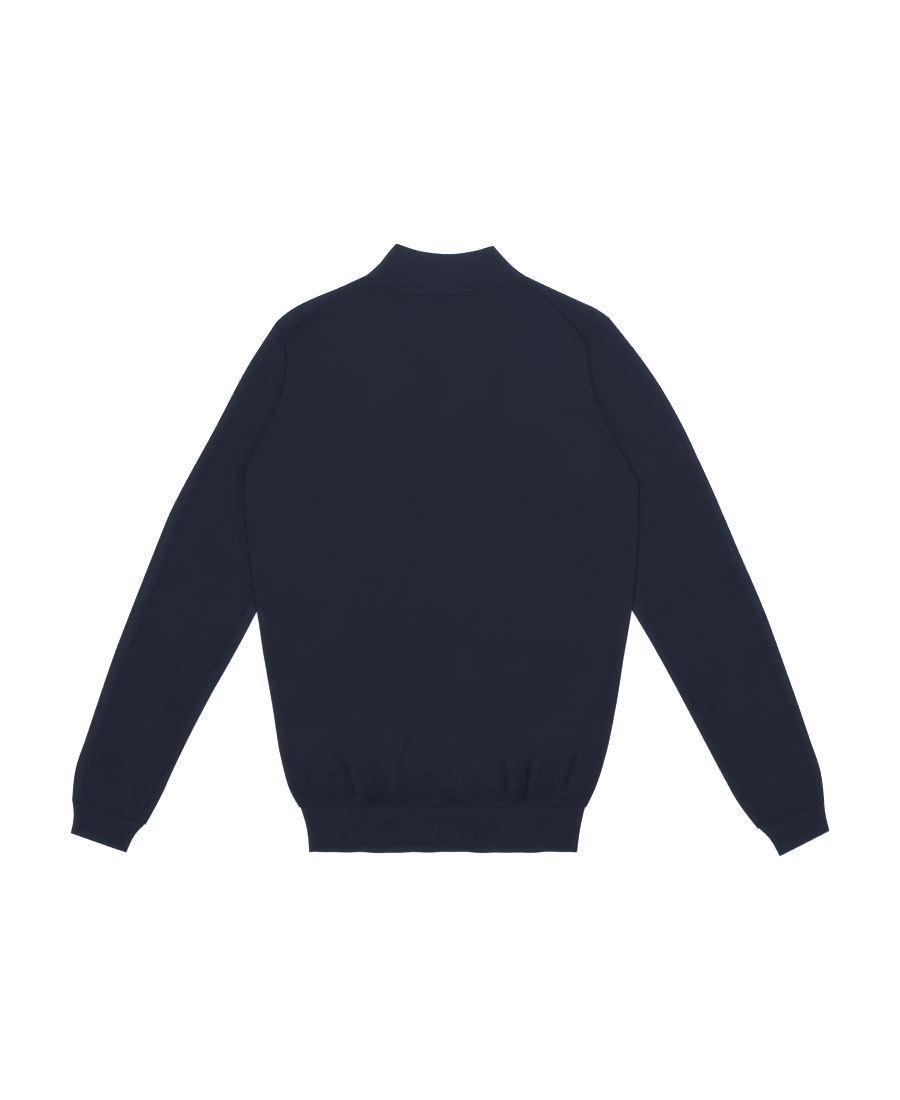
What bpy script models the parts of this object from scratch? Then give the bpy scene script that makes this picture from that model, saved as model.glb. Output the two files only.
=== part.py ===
"""A mock-neck knit sweater, laid flat with its back up.

+X runs across the garment, +Y from the hem to the collar and +Z up from the surface
that it lies on. The origin is under the middle of the garment. "Left" is at -X.
Lengths are in millimetres until an object is finished, which scales it to metres.

Every piece is a wall of cloth: a skin of its outer points, copied inwards by the
wall's thickness. The back panel lies on the front panel, and the sleeves, cuffs and
collar are flattened tubes with open ends.
"""
import math

import bmesh
import bpy
from mathutils import Vector

MM = 0.001

# Heights of two layers on each other, and the wall of one layer.
BODY_HEIGHT, BODY_WALL = 4.0, 1.4
RIB_HEIGHT, RIB_WALL = 4.4, 1.6
SEAM_GAP = 0.3             # between two pieces that are sewn together
FOLD_CLEARANCE = 0.2       # a folded edge stays this far inside its line
ROLL_ANGLES = (0, 45, 90)  # points round a quarter of a folded edge, in degrees

# Knitted ribs.
RIB_PITCH = 3.85
RIB_RISE = 0.5

# Outline of the body, a row for each level from the shoulder to the hem rib.
ARMHOLE_LEVELS = (
    # left x, left y, right x, right y
    (-212.0, 280.0, 194.0, 285.0),   # shoulder corner, on the fold
    (-200.0, 254.0, 168.0, 248.0),   # end of the back shoulder seam
    (-199.0, 235.0, 168.0, 227.0),
    (-202.0, 204.0, 171.0, 206.0),
    (-212.0, 172.0, 180.0, 180.0),
    (-230.0, 134.0, 203.0, 130.0),
    (-251.5, 97.0, 230.5, 81.0),     # underarm
)
SIDE_LEVELS = (
    # left x, left y, right x, right y
    (-251.5, 97.0, 230.5, 81.0),     # underarm
    (-251.0, 55.0, 230.5, 42.0),
    (-247.0, 6.0, 228.0, -7.0),
    (-236.0, -75.0, 222.0, -73.0),   # the sleeve leaves the side
    (-233.0, -95.0, 217.3, -95.0),
    (-229.5, -120.0, 214.0, -120.0),
    (-218.5, -182.0, 204.5, -182.0),
    (-212.0, -225.0, 196.0, -225.0),
    (-204.0, -266.0, 186.0, -266.0),
    (-194.0, -298.0, 174.5, -298.0),
    (-184.5, -313.5, 166.5, -313.5),   # seam of the hem rib
)
SIDE_ROW_OF_CROTCH = 3
HEM_RIB_LEVELS = (
    # left x, left y, right x, right y
    (-183.0, -313.5, 165.0, -313.5),
    (-177.0, -331.0, 161.0, -331.0),
    (-174.0, -350.0, 157.5, -350.0),
    (-172.5, -368.5, 155.5, -368.5), # bottom edge
)

# The folds over the shoulders, from the neck to the sleeve, and the shoulder seams,
# which lie on the back because the front panel wraps over the folds.
SHOULDER_FOLD = (
    # left x, left y, right x, right y
    (-102.5, 336.5, 91.5, 336.0),
    (-134.0, 322.0, 122.0, 321.5),
    (-172.5, 306.0, 158.0, 305.0),
    (-195.5, 293.5, 182.0, 294.0),
    (-212.0, 280.0, 194.0, 285.0),
)
SHOULDER_SEAM = (
    # left x, left y, right x, right y
    (-91.0, 329.0, 83.0, 330.0),
    (-116.0, 316.0, 101.5, 319.0),
    (-143.0, 302.0, 119.0, 305.0),
    (-164.0, 288.5, 134.0, 289.0),
    (-183.0, 272.0, 151.0, 271.0),
    (-200.0, 254.0, 168.0, 248.0),
)
BACK_NECK_SEAM = (
    # x, y
    (-91.0, 329.0),
    (-60.0, 316.0),
    (-25.0, 312.0),
    (15.0, 314.5),
    (52.0, 321.5),
    (83.0, 330.0),
)
FRONT_NECK_DROP = 60.0     # how far the front neckline hangs below the shoulders
FRONT_NECK_FULLNESS = 2.4  # 2 is a parabola, more is squarer
FRONT_ARMHOLE_SCOOP = 10.0 # the front armhole is cut this much further in

# Collar, a row for each level from the neck seams to the top edge: its folded
# sides, its height over both layers and the wall of one. It starts as thin as the body.
COLLAR_LEVELS = (
    # left x, left y, right x, right y, height, wall
    (-102.5, 336.5, 91.5, 336.0, BODY_HEIGHT, BODY_WALL),
    (-86.0, 351.0, 75.5, 348.0, 5.4, 2.1),
    (-75.5, 364.5, 63.5, 360.5, 5.4, 2.1),
    (-66.0, 375.0, 53.0, 372.5, 5.2, 2.1),
)
COLLAR_BACK_EDGE = (
    # x, y
    (-66.0, 375.0),
    (-36.0, 365.5),
    (-2.0, 362.0),
    (28.0, 365.5),
    (53.0, 372.5),
)
COLLAR_FRONT_DIP = 46.0    # the front's top edge below the line of its two corners

# Sleeves. Beside the body a sleeve's inner edge is the armhole and then the body's
# side, so these rows give the outer edge level with each of those rows.
SLEEVE_OUTER_LEVELS = (
    # left x, left y, right x, right y
    (-212.0, 280.0, 194.0, 285.0),   # shoulder corner
    (-231.0, 251.0, 222.0, 250.0),
    (-251.0, 219.0, 247.0, 216.0),
    (-268.0, 186.5, 265.0, 187.0),
    (-286.0, 152.0, 283.0, 155.0),
    (-302.0, 122.5, 301.0, 117.0),   # level with the underarm
    (-321.0, 88.0, 320.0, 76.0),
    (-342.0, 47.0, 341.0, 27.0),
    (-364.0, -7.0, 355.0, -6.0),     # level with where the sleeve leaves the side
)
# The free part of each sleeve and its cuff, a row for each section down it.
SLEEVE_LEFT = (
    # outer x, outer y, inner x, inner y
    (-364.0, -7.0, -236.0, -75.0),
    (-388.0, -68.0, -260.0, -121.0),
    (-408.0, -120.0, -288.0, -170.0),
    (-426.5, -173.0, -314.0, -219.0),
    (-442.0, -220.0, -336.0, -264.0),
    (-456.0, -261.0, -353.5, -302.0),
    (-462.5, -290.0, -362.5, -318.5),
    (-462.0, -305.5, -371.5, -335.0),
)
SLEEVE_RIGHT = (
    # outer x, outer y, inner x, inner y
    (355.0, -6.0, 222.0, -73.0),
    (382.0, -68.0, 250.5, -121.5),
    (401.0, -119.0, 277.0, -170.0),
    (419.0, -170.0, 303.0, -219.0),
    (434.5, -214.5, 325.0, -260.5),
    (446.0, -250.5, 343.0, -293.5),
    (458.0, -287.0, 357.0, -316.5),
    (457.5, -308.0, 375.5, -340.0),
)
CUFF_LEFT = (
    # outer x, outer y, inner x, inner y
    (-461.0, -305.8, -374.5, -334.0),
    (-460.0, -325.0, -386.0, -349.5),
    (-463.5, -345.0, -395.0, -369.0),
)
CUFF_RIGHT = (
    # outer x, outer y, inner x, inner y
    (456.5, -308.4, 378.5, -338.8),
    (459.5, -326.0, 391.0, -353.5),
    (463.5, -342.0, 402.0, -373.5),
)

# Gathers where the wide back is sewn to the narrow rib: a trough for each row.
GATHERS = (
    # top x, top y, foot x, foot y, depth
    (-172.0, -262.0, -167.0, -294.0, 1.2),
    (-135.0, -250.0, -114.0, -300.0, 2.3),
    (-87.0, -256.0, -76.0, -304.0, 2.5),
    (-34.0, -214.0, -31.0, -264.0, 1.0),
    (-10.0, -272.0, -8.0, -304.0, 1.8),
    (34.0, -270.0, 37.0, -302.0, 1.1),
    (62.0, -250.0, 71.0, -302.0, 2.3),
    (103.0, -254.0, 91.0, -302.0, 2.9),
    (137.0, -234.0, 127.0, -264.0, 1.6),
    (155.5, -264.0, 143.0, -292.0, 2.2),
)
GATHER_HALF_WIDTH = 6.0
PUFF_RISE = 2.5            # the cloth stands up this much above the rib
PUFF_TOP, PUFF_CREST, PUFF_FOOT = -190.0, -286.0, -313.5
LOWEST_SINK = 0.7          # a trough goes no further below the flat cloth

# Points across and down the pieces.
STRIP_ROWS = 3             # shoulder fold to shoulder seam
ARMHOLE_ROWS = 6           # shoulder seam to underarm
CONTACT_ROWS = 5           # underarm to where the sleeve leaves the side
LOWER_ROWS_BACK, LOWER_ROWS_FRONT = 10, 4
FRONT_NECK_STEPS = 12
SLEEVE_STEPS_ACROSS, SLEEVE_ROWS = 6, 8
CUFF_ROWS, HEM_ROWS = 2, 2
CUFF_UNDER_STEPS, HEM_UNDER_STEPS = 6, 12
WIDEST_STEP = 18.0         # between two columns of the back
CURVE_SAMPLES = 200

# Fractions of the body's width at which its columns pass the ends of the neckline.
NECK_START, NECK_END = 0.27, 0.76

NAVY_JERSEY = (0.0190, 0.0220, 0.0360, 1.0)
NAVY_RIB = (0.0180, 0.0205, 0.0340, 1.0)
CLOTH_ROUGHNESS = 0.9


# ---------------------------------------------------------------- curves in plan

def left_of(rows):
    """The first two columns of a table as points."""
    return [Vector(row[:2]) for row in rows]


def right_of(rows):
    """The last two columns of a table as points."""
    return [Vector(row[2:4]) for row in rows]


def bend(points, t):
    """The smooth curve through the points, at point number t (Catmull-Rom)."""
    last = len(points) - 1
    i = min(int(t), last - 1)
    f = t - i
    b, c = points[i], points[i + 1]
    a = points[i - 1] if i > 0 else 2 * b - c
    d = points[i + 2] if i + 2 <= last else 2 * c - b
    return 0.5 * (2 * b + (c - a) * f + (2 * a - 5 * b + 4 * c - d) * f ** 2
                  + (3 * b - a - 3 * c + d) * f ** 3)


def along(points, fractions):
    """Points at the given fractions of the way along a chain of straight steps."""
    reach = [0.0]
    for a, b in zip(points, points[1:]):
        reach.append(reach[-1] + (b - a).length)
    found = []
    for fraction in fractions:
        goal = fraction * reach[-1]
        k = next((k for k in range(len(points) - 1) if reach[k + 1] >= goal),
                 len(points) - 2)
        part = (goal - reach[k]) / (reach[k + 1] - reach[k])
        found.append(points[k].lerp(points[k + 1], part))
    return found


def walk(points, fractions, start=0.0, end=None):
    """Points at the given fractions of the way along the smooth curve through the
    points, between point numbers start and end."""
    end = len(points) - 1 if end is None else end
    return along([bend(points, start + (end - start) * f) for f in even(CURVE_SAMPLES)],
                 fractions)


def even(count):
    """count + 1 fractions from 0 to 1."""
    return [k / count for k in range(count + 1)]


def lengths_along(points):
    """The fraction of a chain's length at each of its points."""
    reach = [0.0]
    for a, b in zip(points, points[1:]):
        reach.append(reach[-1] + (b - a).length)
    return [r / reach[-1] for r in reach]


def patch(start, end, left, right, across, down):
    """Fill a four-sided field from its edges: start and end run across, left and
    right run down. across and down are the fractions at their points."""
    rows = []
    for i, v in enumerate(down):
        row = []
        for j, u in enumerate(across):
            between_ends = (1 - v) * start[j] + v * end[j]
            between_sides = (1 - u) * left[i] + u * right[i]
            corners = ((1 - v) * ((1 - u) * start[0] + u * start[-1])
                       + v * ((1 - u) * end[0] + u * end[-1]))
            row.append(between_ends + between_sides - corners)
        rows.append(row)
    return rows


def rolled(row, height, first=True, last=True):
    """Give a row of plan points its folded edges. Each result is (centre, way, turn):
    the cloth's outer face lies half the height from the centre, turned from the way
    out over the fold, at 0 degrees, to straight up or down, at 90. first and last say
    if that end is folded, or None for an end without the extra points of a fold."""
    half = height / 2
    flat = ROLL_ANGLES[-1]

    def edge(fold, towards, folded):
        if folded is None:
            return [(fold, Vector((0, 0)), flat)]
        way = (towards - fold).normalized()
        if folded:
            return [(fold + way * (FOLD_CLEARANCE + half), -way, angle)
                    for angle in ROLL_ANGLES]
        return [(fold + way * half * (1 - math.cos(math.radians(angle))), -way, flat)
                for angle in ROLL_ANGLES]

    middle = [(point, Vector((0, 0)), flat) for point in row[1:-1]]
    return edge(row[0], row[1], first) + middle + edge(row[-1], row[-2], last)[::-1]


def folded_field(field, height, top_folds, side_folds):
    """Fold a field of plan points along its first row and at both ends of its rows.
    top_folds has a value for each column and side_folds a pair for each row, as in
    rolled(), which also describes the result's points."""
    columns = [rolled(column, height, fold, None)
               for column, fold in zip(zip(*field), top_folds)]
    extra = len(ROLL_ANGLES) - 1
    rows = []
    for i, row in enumerate(zip(*columns)):
        first, last = side_folds[max(i - extra, 0)]
        across = rolled([centre for centre, _, _ in row], height, first, last)
        before = [] if first is None else [row[0]] * extra
        after = [] if last is None else [row[-1]] * extra
        rows.append([own if own[2] < ROLL_ANGLES[-1] else (own[0],) + down[1:]
                     for own, down in zip(across, before + list(row) + after)])
    return rows


def cloth_points(row, height, wall, side, relief=None):
    """The outer and inner point of the cloth for each of a folded row's points, on
    the top layer where side is 1 and on the bottom one where it is -1."""
    made = []
    for centre, way, angle in row:
        turn = math.radians(angle)
        lift = relief(centre) if relief else 0.0
        pair = []
        for radius in (height / 2, height / 2 - wall):
            plan = centre + way * radius * math.cos(turn)
            rise = (radius + lift) * math.sin(turn)
            pair.append(Vector((plan.x, plan.y, height / 2 + side * rise)))
        made.append(pair)
    return made


# ---------------------------------------------------------------- skins and walls

def new_skin():
    """A mesh whose points also remember where the cloth's inner face is."""
    bm = bmesh.new()
    bm.verts.layers.float_vector.new("inner")
    return bm


def add_sheet(bm, rows):
    """Add a sheet with a point for each (outer, inner) pair of the rows."""
    inner = bm.verts.layers.float_vector["inner"]
    wide, deep = len(rows[0]) - 1, len(rows) - 1
    made = bmesh.ops.create_grid(bm, x_segments=wide, y_segments=deep, size=0.5)
    pairs = [pair for row in rows for pair in row]
    for vert, (outside, inside) in zip(made["verts"], pairs):
        vert.co = outside
        vert[inner] = inside
    return made["verts"]


def weld(bm):
    """Join sheets where their points coincide."""
    bmesh.ops.remove_doubles(bm, verts=bm.verts, dist=0.01)


def pull_rims_in(bm, distance):
    """Move the skin's open rims inwards along the cloth, to leave room at seams."""
    inner = bm.verts.layers.float_vector["inner"]
    bm.normal_update()
    ways = {}
    for edge in bm.edges:
        if not edge.is_boundary:
            continue
        face = edge.link_faces[0]
        start = edge.verts[0].co
        inward = face.normal.cross(edge.verts[1].co - start).normalized()
        if inward.dot(face.calc_center_median() - start) < 0:
            inward.negate()
        for vert in edge.verts:
            ways.setdefault(vert, []).append(inward)
    for vert, found in ways.items():
        way = sum(found, Vector()).normalized()
        step = way * distance / max(0.6, way.dot(found[0]))
        vert.co += step
        vert[inner] += step
        vert.co.z = max(vert.co.z, 0.0)


def thicken(bm, raised=()):
    """Join the skin round its rims to a copy of it on the cloth's inner face. The
    points in raised then stand proud of the skin as ribs, over a plain inside."""
    inner = bm.verts.layers.float_vector["inner"]
    crests = [(vert, (vert.co - vert[inner]).normalized()) for vert in raised]
    grown = bmesh.ops.extrude_face_region(bm, geom=bm.faces[:])
    for part in grown["geom"]:
        if isinstance(part, bmesh.types.BMVert):
            part.co = part[inner]
    for vert, way in crests:
        vert.co += way * RIB_RISE
    bm.verts.layers.float_vector.remove(inner)
    bmesh.ops.recalc_face_normals(bm, faces=bm.faces)


def cloth_material(name, colour):
    material = bpy.data.materials.new(name)
    material.use_nodes = True
    shader = material.node_tree.nodes["Principled BSDF"]
    shader.inputs["Base Color"].default_value = colour
    shader.inputs["Roughness"].default_value = CLOTH_ROUGHNESS
    shader.inputs["Metallic"].default_value = 0.0
    material.diffuse_color = colour
    return material


def finish(bm, name, colour):
    """Scale the piece to metres and make it an object with its own material."""
    bmesh.ops.scale(bm, vec=(MM, MM, MM), verts=bm.verts)
    mesh = bpy.data.meshes.new(name)
    bm.to_mesh(mesh)
    bm.free()
    mesh.materials.append(cloth_material(f"{name}_cloth", colour))
    mesh.shade_smooth()
    mesh.set_sharp_from_angle(angle=math.radians(40))
    piece = bpy.data.objects.new(name, mesh)
    bpy.context.scene.collection.objects.link(piece)
    return piece


# ---------------------------------------------------------------- shared seams

def armhole(side):
    """The back armhole from the shoulder corner to the underarm, at the stations
    that the panels and the sleeve share. It is straight up to the shoulder seam."""
    corner, seam_end = side(ARMHOLE_LEVELS)[:2]
    strip = [corner.lerp(seam_end, f) for f in even(STRIP_ROWS)]
    return strip + walk(side(ARMHOLE_LEVELS)[1:], even(ARMHOLE_ROWS))[1:]


def front_armhole(side):
    """The same stations, but cut further in between the shoulder and underarm."""
    points = armhole(side)
    inwards = 1 if points[0].x < 0 else -1
    scooped = points[STRIP_ROWS:]
    return points[:STRIP_ROWS] + [
        point + Vector((inwards * FRONT_ARMHOLE_SCOOP * math.sin(math.pi * f), 0))
        for point, f in zip(scooped, lengths_along(scooped))]


def contact(side):
    """The body's side from the underarm to where the sleeve leaves it."""
    return walk(side(SIDE_LEVELS), even(CONTACT_ROWS), 0, SIDE_ROW_OF_CROTCH)


def lower_side(side, count):
    """The body's side from there to the hem rib."""
    return walk(side(SIDE_LEVELS), even(count), SIDE_ROW_OF_CROTCH)


def body_columns():
    """Columns of the back as fractions of its width: one down each gather and one
    on either side of it, with others between so that no step is too wide."""
    left, right = SIDE_LEVELS[-1][0], SIDE_LEVELS[-1][2]
    seams = (NECK_START, NECK_END, 1.0)
    wanted = set(seams)
    for _, _, foot_x, _, _ in GATHERS:
        for aside in (-GATHER_HALF_WIDTH, 0.0, GATHER_HALF_WIDTH):
            wanted.add((foot_x + aside - left) / (right - left))
    columns = [0.0]
    least = 0.6 * GATHER_HALF_WIDTH / (right - left)
    for fraction in sorted(wanted):
        if fraction - columns[-1] < least:
            if fraction not in seams:
                continue
            columns.pop()
        step = fraction - columns[-1]
        parts = math.ceil(step * (right - left) / WIDEST_STEP)
        columns += [columns[-1] + step * k / parts for k in range(1, parts)]
        columns.append(fraction)
    return columns


def shoulder_fractions(side):
    """The columns' places along a shoulder, from the neck to the sleeve."""
    if side is left_of:
        return [1 - u / NECK_START for u in body_columns() if u <= NECK_START][::-1]
    return [(u - NECK_END) / (1 - NECK_END) for u in body_columns() if u >= NECK_END]


def shoulder_seam(side):
    return walk(side(SHOULDER_SEAM), shoulder_fractions(side))


def back_neck_seam():
    """The back panel's points along the collar."""
    inside = [(u - NECK_START) / (NECK_END - NECK_START)
              for u in body_columns() if NECK_START <= u <= NECK_END]
    return walk([Vector(row) for row in BACK_NECK_SEAM], inside)


def front_neckline():
    """The front neck seam, from the left shoulder fold to the right one."""
    left, right = left_of(SHOULDER_FOLD)[0], right_of(SHOULDER_FOLD)[0]
    fine = []
    for f in even(CURVE_SAMPLES):
        drop = FRONT_NECK_DROP * (1 - abs(2 * f - 1) ** FRONT_NECK_FULLNESS)
        fine.append(left.lerp(right, f) - Vector((0, drop)))
    return along(fine, even(FRONT_NECK_STEPS))


# ---------------------------------------------------------------- folds in the cloth

def ease(t):
    """0 below 0, 1 above 1, and a smooth rise between."""
    t = min(max(t, 0.0), 1.0)
    return t * t * (3 - 2 * t)


def gather_relief(point):
    """Height of the back above its flat level at a plan point: the cloth puffs up
    over the rib, and each gather is a trough in the puff."""
    above = ease((PUFF_TOP - point.y) / (PUFF_TOP - PUFF_CREST))
    below = 1 - 0.55 * ease((PUFF_CREST - point.y) / (PUFF_CREST - PUFF_FOOT))
    height = PUFF_RISE * above * below
    for top_x, top_y, foot_x, foot_y, depth in GATHERS:
        top, foot = Vector((top_x, top_y)), Vector((foot_x, foot_y))
        run = foot - top
        reached = (point - top).dot(run) / run.length_squared
        nearest = top + run * min(max(reached, 0.0), 1.0)
        away = (point - nearest).length / GATHER_HALF_WIDTH
        height -= depth * math.exp(-away * away)
    return max(height, -LOWEST_SINK)


# ---------------------------------------------------------------- the pieces

def make_back_panel():
    down = {}
    for side in (left_of, right_of):
        down[side] = (armhole(side)[STRIP_ROWS:] + contact(side)[1:]
                      + lower_side(side, LOWER_ROWS_BACK)[1:])
    top = (shoulder_seam(left_of)[::-1] + back_neck_seam()[1:-1]
           + shoulder_seam(right_of))
    across = body_columns()
    hem = [down[left_of][-1].lerp(down[right_of][-1], u) for u in across]
    field = patch(top, hem, down[left_of], down[right_of],
                  across, lengths_along(down[left_of]))
    rows = []
    for i, row in enumerate(field):
        folded = i > ARMHOLE_ROWS
        points = rolled(row, BODY_HEIGHT, folded, folded)
        rows.append(cloth_points(points, BODY_HEIGHT, BODY_WALL, 1, gather_relief))
    bm = new_skin()
    add_sheet(bm, rows)
    pull_rims_in(bm, SEAM_GAP / 2)
    thicken(bm)
    return finish(bm, "back_panel", NAVY_JERSEY)


def make_front_panel():
    """The front lies under the back, and wraps over the shoulder folds to the
    shoulder seams."""
    down, fold = {}, {}
    for side in (left_of, right_of):
        down[side] = (front_armhole(side) + contact(side)[1:]
                      + lower_side(side, LOWER_ROWS_FRONT)[1:])
        fold[side] = walk(side(SHOULDER_FOLD), shoulder_fractions(side))
    top = fold[left_of][::-1] + front_neckline()[1:-1] + fold[right_of]
    across = [u for u in body_columns() if u <= NECK_START]
    across += [NECK_START + (NECK_END - NECK_START) * f
               for f in even(FRONT_NECK_STEPS)[1:-1]]
    across += [u for u in body_columns() if u >= NECK_END]
    hem = [down[left_of][-1].lerp(down[right_of][-1], u) for u in across]
    field = patch(top, hem, down[left_of], down[right_of],
                  across, lengths_along(down[left_of]))
    top_folds = ([True] * len(fold[left_of]) + [False] * (FRONT_NECK_STEPS - 1)
                 + [True] * len(fold[right_of]))
    side_folds = [(False, False)] * (STRIP_ROWS + ARMHOLE_ROWS + 1)
    side_folds += [(True, True)] * (CONTACT_ROWS + LOWER_ROWS_FRONT)
    bm = new_skin()
    under = [cloth_points(row, BODY_HEIGHT, BODY_WALL, -1)
             for row in folded_field(field, BODY_HEIGHT, top_folds, side_folds)]
    add_sheet(bm, under)

    # The strips over the shoulders, on the top layer. Each starts from the fold's
    # own points, so that it and the sheet below can be welded.
    for side in (left_of, right_of):
        outline, seam = fold[side][::-1], shoulder_seam(side)[::-1]
        at_sleeve = armhole(side)[:STRIP_ROWS + 1]
        at_neck = [outline[-1].lerp(seam[-1], f) for f in even(STRIP_ROWS)]
        strip = patch(outline, seam, at_sleeve, at_neck,
                      lengths_along(outline), even(STRIP_ROWS))
        over = [cloth_points(row, BODY_HEIGHT, BODY_WALL, 1)
                for row in folded_field(strip, BODY_HEIGHT, [True] * len(outline),
                                        [(False, None)] * (STRIP_ROWS + 1))]
        fold_points = under[0] if side is left_of else under[0][::-1]
        over[0] = fold_points[:len(over[0])]
        add_sheet(bm, over)
    weld(bm)
    pull_rims_in(bm, SEAM_GAP / 2)
    thicken(bm)
    return finish(bm, "front_panel", NAVY_JERSEY)


def two_layers(name, top_rows, bottom_rows, sizes, colour, first_folded_row=0, ribs=0):
    """Two layers joined by a fold along the first end of every row, and along the
    last end from first_folded_row on. Above that row the last ends are open. sizes
    has each row's height and wall. With ribs, alternate points of the top layer
    between the folds stand proud."""
    over, under = [], []
    for i, (upper, lower) in enumerate(zip(top_rows, bottom_rows)):
        closed = i >= first_folded_row
        height, wall = sizes[i]
        over.append(cloth_points(rolled(upper, height, True, closed), height, wall, 1))
        below = cloth_points(rolled(lower, height, True, closed), height, wall, -1)
        below[0] = over[i][0]
        if closed:
            below[-1] = over[i][-1]
        under.append(below)
    bm = new_skin()
    verts = add_sheet(bm, over)
    raised = rib_crests(verts, len(over[0]), len(over), ribs)
    add_sheet(bm, under)
    weld(bm)
    pull_rims_in(bm, SEAM_GAP / 2)
    thicken(bm, raised)
    return finish(bm, name, colour)


def rib_fractions(left, right, height):
    """How many ribs a layer has where it is narrowest, and the fractions across it
    for its two folded edges and for two steps a rib between them."""
    width = min((a - b).length for a, b in zip(left, right))
    margin = (FOLD_CLEARANCE + height / 2) / width
    ribs = round((1 - 2 * margin) * width / RIB_PITCH)
    inside = [margin + (1 - 2 * margin) * k / (2 * ribs) for k in range(1, 2 * ribs)]
    return ribs, [0.0] + inside + [1.0]


def rib_crests(verts, wide, deep, ribs):
    """Every other point between a sheet's two folded edges, in each of its rows."""
    first = len(ROLL_ANGLES)
    return [verts[i * wide + first + k] for i in range(deep)
            for k in range(0, 2 * ribs - 1, 2)]


def make_sleeve(name, side, table):
    """The rows run from the outer fold to the armhole, then to the body's side, and
    then to the sleeve's own inner fold. The first lies beside the shoulder strip."""
    outer_rows = side(SLEEVE_OUTER_LEVELS)
    underarm = len(ARMHOLE_LEVELS) - 2
    outer = walk(outer_rows, even(ARMHOLE_ROWS), 0, underarm)
    outer += walk(outer_rows, even(CONTACT_ROWS), underarm)[1:]
    outer += walk(left_of(table), even(SLEEVE_ROWS))[1:]
    lower = contact(side)[1:] + walk(right_of(table), even(SLEEVE_ROWS))[1:]
    across = even(SLEEVE_STEPS_ACROSS)
    layers = []
    for seam in (armhole(side), front_armhole(side)):
        inner = seam[STRIP_ROWS:] + lower
        top = [seam[0].lerp(seam[STRIP_ROWS], u) for u in across]
        cuff = [outer[-1].lerp(inner[-1], u) for u in across]
        layers.append(patch(top, cuff, outer, inner, across, lengths_along(outer)))
    sizes = [(BODY_HEIGHT, BODY_WALL)] * len(outer)
    return two_layers(name, layers[0], layers[1], sizes, NAVY_JERSEY,
                      first_folded_row=ARMHOLE_ROWS)


def make_cuff(name, table):
    outer = walk(left_of(table), even(CUFF_ROWS))
    inner = walk(right_of(table), even(CUFF_ROWS))
    ribs, across = rib_fractions(outer, inner, RIB_HEIGHT)
    over, under = [[[a.lerp(b, u) for u in fractions] for a, b in zip(outer, inner)]
                   for fractions in (across, even(CUFF_UNDER_STEPS))]
    sizes = [(RIB_HEIGHT, RIB_WALL)] * len(outer)
    return two_layers(name, over, under, sizes, NAVY_RIB, ribs=ribs)


def make_collar():
    """Rows run from fold to fold, the lowest along the neck seams."""
    left, right = left_of(COLLAR_LEVELS), right_of(COLLAR_LEVELS)
    down = lengths_along(left)
    highest = max(row[4] for row in COLLAR_LEVELS)
    ribs, across = rib_fractions(left, right, highest)
    seam = [left[0]] + back_neck_seam() + [right[0]]
    edge = [Vector(row) for row in COLLAR_BACK_EDGE]
    back = patch(along(seam, across), walk(edge, across), left, right, across, down)
    across = even(FRONT_NECK_STEPS)
    dips = [COLLAR_FRONT_DIP * (1 - abs(2 * u - 1) ** FRONT_NECK_FULLNESS)
            for u in across]
    edge = [left[-1].lerp(right[-1], u) - Vector((0, dip))
            for u, dip in zip(across, dips)]
    front = patch(front_neckline(), edge, left, right, across, down)
    sizes = [row[4:] for row in COLLAR_LEVELS]
    return two_layers("collar", back, front, sizes, NAVY_RIB, ribs=ribs)


def make_hem_rib(name, on_top):
    """One layer of the hem's band, with its sides folded towards the other."""
    left = walk(left_of(HEM_RIB_LEVELS), even(HEM_ROWS))
    right = walk(right_of(HEM_RIB_LEVELS), even(HEM_ROWS))
    ribs, across = 0, even(HEM_UNDER_STEPS)
    if on_top:
        ribs, across = rib_fractions(left, right, RIB_HEIGHT)
    rows = [cloth_points(rolled([a.lerp(b, u) for u in across], RIB_HEIGHT),
                         RIB_HEIGHT, RIB_WALL, 1 if on_top else -1)
            for a, b in zip(left, right)]
    bm = new_skin()
    verts = add_sheet(bm, rows)
    raised = rib_crests(verts, len(rows[0]), len(rows), ribs)
    pull_rims_in(bm, SEAM_GAP / 2)
    thicken(bm, raised)
    return finish(bm, name, NAVY_RIB)


def main():
    for old in list(bpy.data.objects):
        bpy.data.objects.remove(old, do_unlink=True)
    make_front_panel()
    make_back_panel()
    make_sleeve("sleeve_left", left_of, SLEEVE_LEFT)
    make_sleeve("sleeve_right", right_of, SLEEVE_RIGHT)
    make_collar()
    make_hem_rib("hem_rib_front", on_top=False)
    make_hem_rib("hem_rib_back", on_top=True)
    make_cuff("cuff_left", CUFF_LEFT)
    make_cuff("cuff_right", CUFF_RIGHT)


main()
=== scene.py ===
# %% [markdown]
# # A mock-neck sweater, laid flat with its back up
#
# A fine-knit sweater is made of shaped panels: a back, a front that wraps over the
# shoulders, two sleeves, and ribbed bands for the neck, the cuffs and the hem. The
# panels are linked edge to edge, so what shows of a seam is a narrow groove. This
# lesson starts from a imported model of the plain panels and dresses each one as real
# cloth: finer, with its gathers, ribs, rolled folds and knitted surface.
#
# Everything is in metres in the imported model's own frame: +X across the sweater, +Y
# from the hem to the collar and +Z up from the surface that it lies on.

from collections import namedtuple

import bmesh
import bpy
import numpy as np
from mathutils import Matrix


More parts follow.
